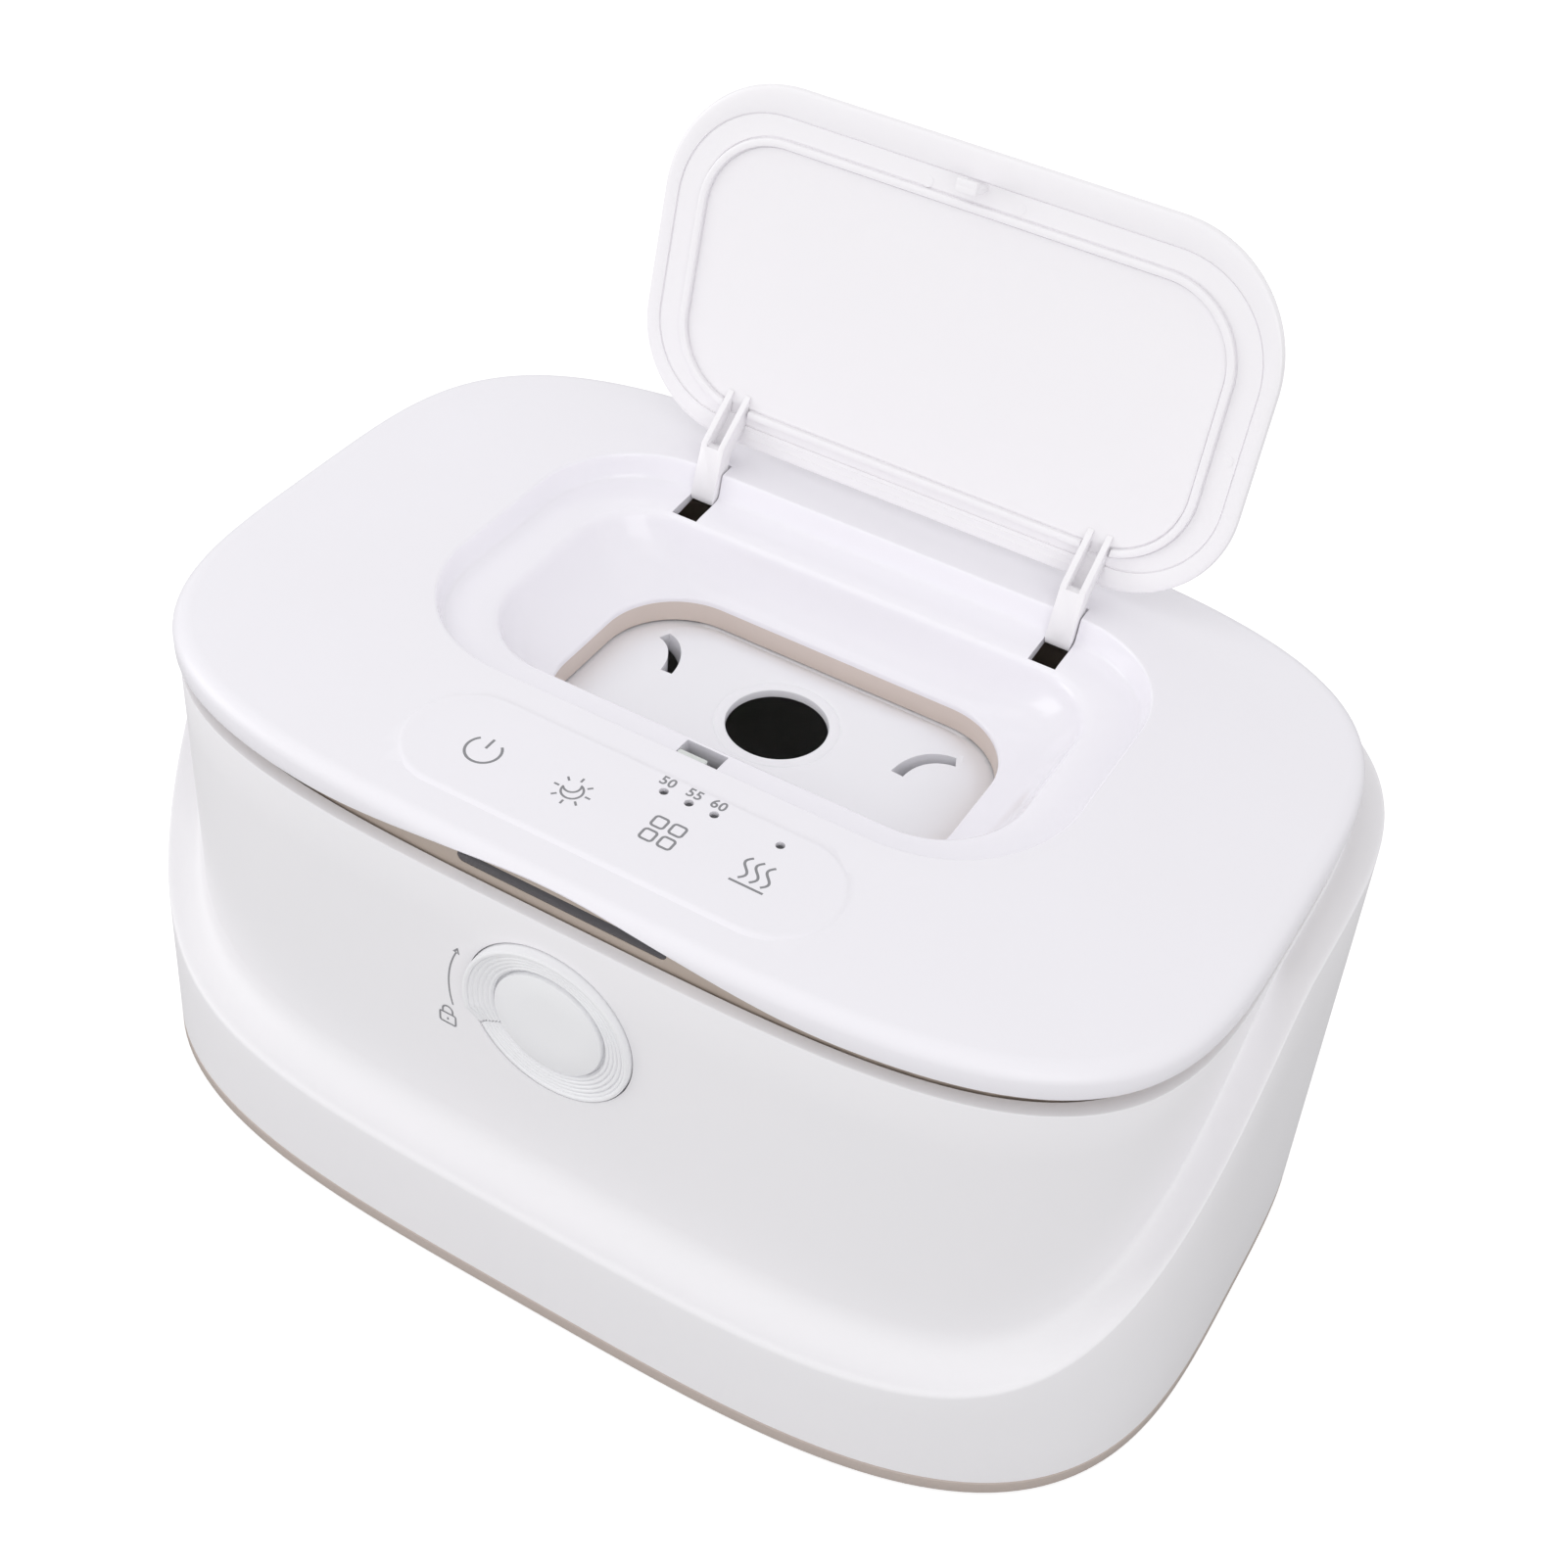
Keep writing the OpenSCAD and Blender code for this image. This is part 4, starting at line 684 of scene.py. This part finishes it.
lid = skin(
    around(lid_foot, (1.9, 0), (0.45, 0), (0.13, 0.13), (0, 0.45))
    + around(rolled, *(k / 12 for k in range(1, 13))) + around(crown, *(k / 8 for k in range(1, 8)))
    + around(bowl, *bowl_profile, *under_bowl) + around(lid_edge, (10.4, 110.4), (4.9, 110.3)),
    closed=True)
# The pad stands a fifth of a millimetre proud of the top, with a soft edge all round
pad = skin(around(panel, (0, 111.6), (0, 112.3), (0.3, 112.52), (0.75, 112.74), (0.95, 112.85),
                  (1.15, 112.93), (1.4, 112.97), (1.8, PANEL_Z)), count=240)
lid = worked(lid, [pad], "UNION")
tools = [disc((x, LAMP_Y, 0), LAMP_R, 108, 114, count=40) for x in LAMPS]
for x in (-ARM_X, ARM_X):
    # The slot for a hinge arm, and the room behind it for the arm's knuckle
    tools.append(block((x - SLOT, 37.55, 98.6), (x + SLOT, 51.45, 130)))
    tools.append(block((x - SLOT, 50.05, 101), (x + SLOT, 59.05, 111.4)))
# The pocket of the catch
tools.append(block((-3.4, -27.55, 100.9), (5.6, -21.6, 108.1), 0.25))
ready(worked(lid, tools), "lid_shell_and_bowl", lid_white, "lid", ["lid_cover"], 30)

# Lid liner and seal: the taupe collar and plug under the cover, moulded in one and screwed
# to it, whose inner edge shows as a ring under the bowl, and the soft ring in its groove.
# Satin taupe ABS, darker than the base band, with a smoother ring whose colour is painted
# lighter to lift the shade in its recess under the bowl
liner_taupe = plastic("taupe ABS, satin lid liner, ring painted lighter", "b7aa9f", "b2a59a", 0.36)
# The ring's lighter taupe is painted light, standing in for light in the shaded recess
polish_and_paint_light_inside(liner_taupe, 52, 34, LID_TOP, 0.25, "dacdc5")
softened("lid_liner", "lid_collar_and_plug", liner_taupe, "lid", 0)
# Soft silicone, without a clear reflection
seal_grey = plastic("grey silicone, moulded", "dcdcdc", "d8d8d8", 0.55)
softened("lid_seal", "lid_seal_ring", seal_grey, "lid", 0)

# Flap: the pop-up cover of the opening, open at rest. A white moulded shell with a stepped
# rim round a shallow centre panel, fine ribs by its hinge, and a small hook for the catch.
AXIS_Y, AXIS_Z = 53.05, 109.0
FLAP_HALF, FLAP_BACK, FLAP_FRONT, FLAP_Y = (67.6, 37.75), 23.2, 27.1, 8.2
STEP_HALF, STEP_BACK, STEP_FRONT, STEP_Y = (64, 32.35), 18.9, 21.8, 8.8
BEAD_HALF, BEAD_R, BEAD_Y = (58.9, 29.2), 17.6, 10.1
RIB_HALF = 38.5
HOOK_Y, HOOK_HALF = -23.35, 2.2
EJECTORS, EJECTOR_R = ((-10.4, -20.4), (9.4, -20.9), (62, 12)), 1.2
OPEN_ANGLE = 103
to_axis = Matrix.Translation(Vector((0.0, AXIS_Y, AXIS_Z)) * MM)
SWING = to_axis @ Matrix.Rotation(math.radians(-OPEN_ANGLE), 4, "X") @ to_axis.inverted()


def flap_edge(turn, inset, z):
    return (*rounded(turn, FLAP_HALF[0] - inset, FLAP_HALF[1] - inset, FLAP_BACK - inset,
                     FLAP_FRONT - inset, FLAP_Y), z)


def flap_step(turn, inset, z):
    return (*rounded(turn, STEP_HALF[0] - inset, STEP_HALF[1] - inset, STEP_BACK - inset,
                     STEP_FRONT - inset, STEP_Y), z)


def bead(turn, inset, z):
    return (*rounded(turn, BEAD_HALF[0] - inset, BEAD_HALF[1] - inset, BEAD_R - inset,
                     BEAD_R - inset, BEAD_Y), z)


# Semi-gloss ABS, so that the steps and grooves show
flap_white = plastic("white ABS, semi-gloss flap", "f6f4f7", "f4f2f5", 0.3)
# The flap is made closed, face up, and swung open about its pins
flap = skin(
    around(flap_edge, (20, 112.8), (9, 112.8), (2.4, 112.72), (1.1, 112.5), (0.5, 112.15),
           (0.16, 111.7), (0.07, 111.3), (0, 110.95), (0.12, 110.9), (0.12, 110.8), (0.05, 110.75),
           (0.13, 110.4), (0.3, 110.05), (0.7, 109.86), (1.1, 109.8))
    + around(flap_step, (-0.3, 109.8), (-0.22, 109.84), (-0.2, 110.25), (0.02, 110.25), (0.1, 110.05))
    + around(bead, (-0.9, 110.05), (-0.34, 110.05), (-0.28, 110.3), (0.8, 110.3), (1.88, 110.3),
             (1.94, 110.05), (2.6, 110.05), (4.4, 110.16), (12, 110.2)))
extras = [
    block((-HOOK_HALF, HOOK_Y, 104.2), (HOOK_HALF, HOOK_Y + 1.4, 110.2), 0.2),
    block((-HOOK_HALF, HOOK_Y - 1.2, 104.2), (HOOK_HALF, HOOK_Y + 0.3, 105.4), 0.2),
    block((-RIB_HALF, 42.1, 109.6), (RIB_HALF, 42.5, 110)),
    block((-RIB_HALF, 43.6, 109.66), (RIB_HALF, 43.9, 110))]
# Round marks of the mould's ejector pins
extras += [disc((x, y, 0), EJECTOR_R, 109.94, 110.2, count=48) for x, y in EJECTORS]
flap = worked(flap, extras, "UNION")
flap.data.transform(SWING)
ready(flap, "flap_shell", flap_white, "flap", ["flap"], 28)

# Sealing bead: a low rounded rib that runs round the inside of the flap, as the mould leaves
# it, interrupted where the two hinge arms spring from the shell.
loop = skin(around(bead, (0, 110.5), (0, 109.3), (0.1, 109.02), (0.4, 108.91), (0.8, 108.9),
                   (1.2, 108.91), (1.5, 109.02), (1.6, 109.3), (1.6, 110.5)), closed=True)
loop = worked(loop, [block((x - 3.2, 10, 107), (x + 3.2, 46, 111)) for x in (-ARM_X, ARM_X)])
loop.data.transform(SWING)
ready(loop, "flap_sealing_bead", flap_white, "flap", ["flap_bead"])

# Hinge arms: two goosenecks of the flap's own plastic that reach down through the lid's
# slots to their pins, each between the cheeks of a bracket moulded under the lid.
ARM_SLIM = Matrix.Diagonal((0.84, 1, 1, 1))
ARM_FACE = (Matrix.Translation(Vector((0, AXIS_Y - 8.4, AXIS_Z - 7.2)) * MM)
            @ Matrix.Rotation(math.radians(-40.06), 4, "X"))
for side, x in (("left", -ARM_X), ("right", ARM_X)):
    arm = softened("flap_arm_" + side, "flap_hinge_arm_" + side, flap_white, "flap", 0.25)
    # The channel in the arm's outer face is cut deep and ends in a short slope
    channel = block((x - 1.7, -16, -1), (x + 1.7, -0.9, 3.2))
    channel.data.transform(SWING @ ARM_FACE)
    worked(arm, [channel])
    arm.data.set_sharp_from_angle(angle=math.radians(32))
    arm.data.transform(Matrix.Translation((x * MM, 0, 0)) @ ARM_SLIM @ Matrix.Translation((-x * MM, 0, 0)))
    softened("flap_bracket_" + side, "flap_pin_bracket_" + side, lid_white, "lid", 0.2)

# Catch: a small milky clip in the front of the bowl that holds the flap's hook and is pushed
# back to free it. Moulded polycarbonate that lets a little light through.
# Smooth and bright, and cloudy enough to hide what lies behind it
clear = plastic("milky polycarbonate, moulded", "e9edea", "dfe4e0", 0.2, through=0.08)
softened("flap_catch", "flap_catch_clip", clear, "catch", 0.25)

# Night light: a smoke-tinted strip in the collar's front and the lamp pipes of the touch
# pad. Moulded clear plastics, tinted so dark that they look solid while the light is off.
# Almost black, with a clear reflection
smoke = plastic("smoke acrylic, polished", "48464a", "424044", 0.14, relief=0.001)
softened("night_light_window", "night_light_strip", smoke, "lid", 0.2)
# The same look, moulded against a polished face
pipe_smoke = plastic("smoked polycarbonate, polished", "4a4a4d", "424245", 0.15)
softened("light_pipes", "lamp_pipes", pipe_smoke, "lid", 0.1)

# Metal parts: drawn steel pins in the hinges, zinc-plated screws, and the rolled aluminium
# plate that spreads the heater's warmth under the tank.


def metal(name, code, rough, scratch=0.4):
    # Bare metal with fine turning or drawing lines, scratch in mm
    material = bare(name)
    place = add(material, "ShaderNodeTexCoord", {}, {}).outputs["Object"]
    lines = add(material, "ShaderNodeTexNoise", {}, {
        "Vector": place, "Scale": 1 / (scratch * MM), "Detail": 4.0}).outputs["Fac"]
    gloss = add(material, "ShaderNodeMapRange", {}, {
        "Value": lines, "To Min": rough * 0.8, "To Max": rough * 1.25})
    bump = add(material, "ShaderNodeBump", {}, {"Height": lines, "Strength": 0.3, "Distance": 0.004 * MM})
    shader = add(material, "ShaderNodeBsdfPrincipled", {}, {
        "Base Color": colour(code), "Metallic": 1.0, "Roughness": gloss.outputs[0],
        "Normal": bump.outputs[0]})
    add(material, "ShaderNodeOutputMaterial", {}, {"Surface": shader.outputs[0]})
    return material


# Bright steel, duller zinc plating, and the grey of mill-finish aluminium
steel = metal("drawn steel, bright", "b4b6ba", 0.25)
zinc = metal("zinc-plated steel screws", "9fa2a6", 0.35)
aluminium = metal("rolled aluminium, mill finish", "a8aaae", 0.4)
for side in ("left", "right"):
    softened("lid_hinge_pin_" + side, "lid_pin_" + side, steel, "base", 0.15)
    softened("flap_pin_" + side, "flap_pin_rod_" + side, steel, "lid", 0.15)
for node, body in (("base_screws", "base"), ("guide_screws", "base"), ("lid_screws", "lid")):
    softened(node, node.replace("screws", "screw_set"), zinc, body, 0.15)
softened("heater_plate", "heater_plate_rolled", aluminium, "base", 0.15)

# Latch: a gear on the knob's shaft drives a toothed bolt into the lid's ear, both moulded
# acetal, in a polypropylene frame screwed behind the front wall.
# Milky white, smooth and a little waxy
acetal = plastic("natural acetal, moulded", "dcdce0", "d8d8dc", 0.32)
softened("latch_pinion", "latch_gear", acetal, "knob", 0.08)
softened("latch_slider", "latch_bolt", acetal, "latch", 0.08)
softened("latch_guide", "latch_frame", tank_white, "base", 0.15)

# Electrical parts: the inlet in the back wall, three circuit boards, the touch pads, and the
# heating film with its felt, sensor and thermal fuse. Each is bought in and fixed inside.
# Black nylon with an even half gloss
nylon = plastic("black nylon, moulded", "222224", "2a2a2c", 0.4)
softened("dc_jack", "power_inlet_socket", nylon, "base", 0.15)
# Green mask over the copper, smooth and half glossy
board_green = plastic("glass-epoxy board, green solder mask", "2f6b45", "2a6340", 0.35)
for node, body in (("main_board", "base"), ("touch_board", "lid"), ("night_light_board", "lid")):
    softened(node, node + "_made", board_green, body, 0.05)
# Foam, dull and grainy
pad_foam = plastic("conductive foam pads, grey", "58585c", "505054", 0.7, relief=0.03)
softened("touch_pads", "touch_pad_springs", pad_foam, "lid", 0.1)
# Amber film, smooth and fairly glossy
film = plastic("polyimide heater film, amber", "a8702a", "9c6524", 0.3)
softened("heater_film", "heater_foil", film, "base", 0)
# Loose fibres, which hardly reflect
felt = plastic("glass-fibre felt, cream", "d6d2c4", "cbc6b6", 0.9, grain=0.9, relief=0.15)
softened("insulation_pad", "insulation_felt", felt, "base", 0.2)
# A drop of black resin, set smooth
epoxy = plastic("black epoxy bead", "303236", "2a2c30", 0.4)
softened("ntc_sensor", "temperature_sensor", epoxy, "base", 0.1)
# Cream ceramic, half glossy under its glaze
ceramic = plastic("glazed ceramic, cream", "c8c4b8", "beb9ac", 0.35)
softened("thermal_fuse", "thermal_cutout", ceramic, "base", 0.15)

# Printed marks: grey pad-printed signs and figures on the touch pad, and a padlock with its
# arrow on the front wall, about two hundredths of a millimetre of ink.
INK = 0.02
NIGHT_X, NIGHT_Y = -9.3, -51.05
KEY_HALF, KEY_R = 1.3, 0.62
LOCK_X, LOCK_Y, LOCK_HALF, LOCK_R = -23.05, -12.9, (1.4, 0.9), 0.42
QUARTERS = ((1, 1, 0), (-1, 1, 90), (-1, -1, 180), (1, -1, 270))
FIGURES, FIGURE_Y, FIGURE_SIZE = (("50", 3.75), ("55", 9.4), ("60", 14.45)), -40.4, 3.1


def ink(name, strokes, width, place, body):
    # Strokes of ink, each a list of places in mm, laid on a face by a matrix
    curve = bpy.data.curves.new(name, "CURVE")
    curve.dimensions = "3D"
    curve.bevel_depth = width / 2 * MM
    curve.bevel_resolution = 3
    curve.use_fill_caps = True
    for points in strokes:
        line = curve.splines.new("POLY")
        line.points.add(len(points) - 1)
        for point, (x, y) in zip(line.points, points):
            point.co = (x * MM, y * MM, 0, 1)
        line.use_cyclic_u = points[0] == points[-1] and len(points) > 2
    return printed(name, curve, place @ Matrix.Diagonal((1, 1, INK / width, 1)), body)


def printed(name, curve, place, body):
    # Makes a mesh of a curve or a text and lays it on its face
    drawn = placed(name, curve)
    mesh = meshed(drawn)
    bpy.data.objects.remove(drawn)
    mesh.transform(place)
    return ready(placed(name, mesh), name, grey_ink, body, [], 80)


def at_angle(x, y, radius, angle):
    return x + radius * math.cos(math.radians(angle)), y + radius * math.sin(math.radians(angle))


def arc(x, y, radius, start, stop, steps=40):
    return [at_angle(x, y, radius, mix(start, stop, i / steps)) for i in range(steps + 1)]


def rounded_box(x, y, half_x, half_y, r):
    # Corner arcs of radius r about four centres, closed on the first point
    made = []
    for cx, cy, start in QUARTERS:
        made += arc(x + cx * half_x, y + cy * half_y, r, start, start + 90, 8)
    return made + made[:1]


# Thin matt ink
grey_ink = plastic("grey pad-printing ink", "8b8b8f", "86868a", 0.5)
pad_face = Matrix.Translation((0, 0, (PANEL_Z + 0.002) * MM))
power = [arc(-28.55, -51.3, 3.42, 134, 406), [(-28.5, -50.7), (-28.5, -47.9)]]
ink("icon_power", power, 0.55, pad_face, "lid")
# The moon is a round with a smaller round taken out, and the rays stand about it
tips = math.degrees(math.asin(1.653 / 1.656))
moon = arc(NIGHT_X, NIGHT_Y, 2.05, 176.5, 429)
moon += arc(*at_angle(NIGHT_X, NIGHT_Y, 1.306, 122.8), 1.656, 302.8 + tips + 4, 302.8 - tips - 4)
rays = [[at_angle(NIGHT_X, -51.1, r, a) for r in (2.75, 3.85)] for a in range(0, 360, 45)]
ink("icon_night_light", [moon + moon[:1]] + rays, 0.45, pad_face, "lid")
keys = [rounded_box(x, y, KEY_HALF - KEY_R, KEY_HALF - KEY_R, KEY_R)
        for x in (7.9, 11.65) for y in (-49.0, -52.75)]
ink("icon_level", keys, 0.52, pad_face, "lid")
waves = [[(x - 0.88 * math.sin(math.tau * k / 30), -47.3 - 5.5 * k / 30) for k in range(31)]
         for x in (26.26, 28.52, 30.75)]
ink("icon_heat", waves + [[(25.1, -53.87), (31.95, -53.87)]], 0.52, pad_face, "lid")
for text, x in FIGURES:
    letters = bpy.data.curves.new("figure", "FONT")
    letters.body = text
    letters.size = FIGURE_SIZE * MM
    letters.align_x = "CENTER"
    letters.offset = 0.06 * MM
    letters.extrude = INK / 2 * MM
    letters.space_character = 1.05
    place = Matrix.Translation(((x - 0.25) * MM, FIGURE_Y * MM, (PANEL_Z + 0.01) * MM))
    printed("figure_" + text, letters, place, "lid")
wall_face = (Matrix.Translation((0, (FACE_Y - 0.004) * MM, KNOB_Z * MM))
             @ Matrix.Rotation(math.pi / 2 - math.atan(WALL_DRAFT), 4, "X"))
lock = rounded_box(LOCK_X, LOCK_Y, *LOCK_HALF, LOCK_R)
shackle = [(-24.2, -11.55)] + arc(LOCK_X, -10.75, 1.15, 180, 0, 24) + [(-21.9, -11.55)]
keyhole = [(LOCK_X, -12.75), (LOCK_X, -13.3)]
ink("mark_padlock", [lock, shackle, keyhole], 0.38, wall_face, "base")
shaft = arc(-1.11, -2.48, 21.44, 196.0, 155.5)
head = [(-21.2, 6.6), (-20.25, 7.75), (-19.95, 6.3), (-21.2, 6.6)]
filling = [(-20.85, 6.6), (-20.3, 7.4), (-20.2, 6.6)]
ink("mark_arrow", [shaft, head, filling], 0.32, wall_face, "base")

# Light: a white studio that fills the shadows evenly, with five large soft boxes round the
# object, the strongest low at the left and at the right front.
WHITE = (1, 1, 1, 1)
BOX, AIM = 0.7, (0, 0, 0.06)
BOXES = (
    ("left_box", (-1.1, -0.6, 0.35), 3.0), ("right_box", (0.8, -0.9, 0.5), 2.2),
    ("top_box", (-0.55, -0.45, 1.1), 0.7), ("camera_box", (0.5, -0.8, 1.1), 0.6),
    ("rear_box", (-0.9, 0.7, 0.9), 0.4))
world = bpy.data.worlds.new("white studio")
bpy.context.scene.world = world
world.use_nodes = True
world.node_tree.nodes.clear()
seen = add(world, "ShaderNodeBackground", {}, {"Color": WHITE, "Strength": 1.0})
fill = add(world, "ShaderNodeBackground", {}, {"Color": WHITE, "Strength": 0.81})
scattered = add(world, "ShaderNodeLightPath", {}, {}).outputs["Is Diffuse Ray"]
pick = add(world, "ShaderNodeMixShader", {}, {0: scattered, 1: seen.outputs[0], 2: fill.outputs[0]})
add(world, "ShaderNodeOutputWorld", {}, {"Surface": pick.outputs[0]})


def lamp(name, place, power):
    data = bpy.data.lights.new(name, "AREA")
    data.shape = "SQUARE"
    data.size = BOX
    data.energy = power
    made = placed(name, data)
    made.location = place
    made.rotation_euler = (Vector(AIM) - Vector(place)).to_track_quat("-Z", "Y").to_euler()
    return made


lamps = [lamp(*box) for box in BOXES]

# Ground: a sweep of white paper, matt, which keeps the object's shadow. It glows to the
# camera alone, so that it is white in the picture and lights nothing.
FLOOR_HALF = 3
shape = bmesh.new()
bmesh.ops.create_grid(shape, x_segments=1, y_segments=1, size=FLOOR_HALF)
floor = solid(shape)
floor.name = "floor"
ground = bare("white paper sweep")
matt = add(ground, "ShaderNodeBsdfDiffuse", {}, {"Color": (0.57, 0.57, 0.57, 1)})
glow = add(ground, "ShaderNodeEmission", {}, {"Strength": 0.7})
both = add(ground, "ShaderNodeAddShader", {}, {0: matt.outputs[0], 1: glow.outputs[0]})
to_camera = add(ground, "ShaderNodeLightPath", {}, {}).outputs["Is Camera Ray"]
pick = add(ground, "ShaderNodeMixShader", {}, {0: to_camera, 1: matt.outputs[0], 2: both.outputs[0]})
add(ground, "ShaderNodeOutputMaterial", {}, {"Surface": pick.outputs[0]})
floor.data.materials.append(ground)

# Camera: a normal lens, above the front and to the right of the object, leaning slightly.
AZIMUTH, ELEVATION, LEAN = (math.radians(v) for v in (27.09, 42.72, 5.21))
EYE = (0.15241, -0.28517, 0.37975)
back = Vector((math.sin(AZIMUTH) * math.cos(ELEVATION), -math.cos(AZIMUTH) * math.cos(ELEVATION),
               math.sin(ELEVATION)))
right = Vector((0, 0, 1)).cross(back).normalized()
up = back.cross(right)
turned = Matrix((right, up, back)).transposed().to_4x4() @ Matrix.Rotation(LEAN, 4, "Z")
eye = bpy.data.cameras.new("camera")
eye.lens = 50.172
eye.sensor_width = 36
eye.clip_start = 0.01
camera = placed("camera", eye)
camera.matrix_world = Matrix.Translation(EYE) @ turned
bpy.context.scene.camera = camera
bpy.context.scene.view_settings.view_transform = "Standard"
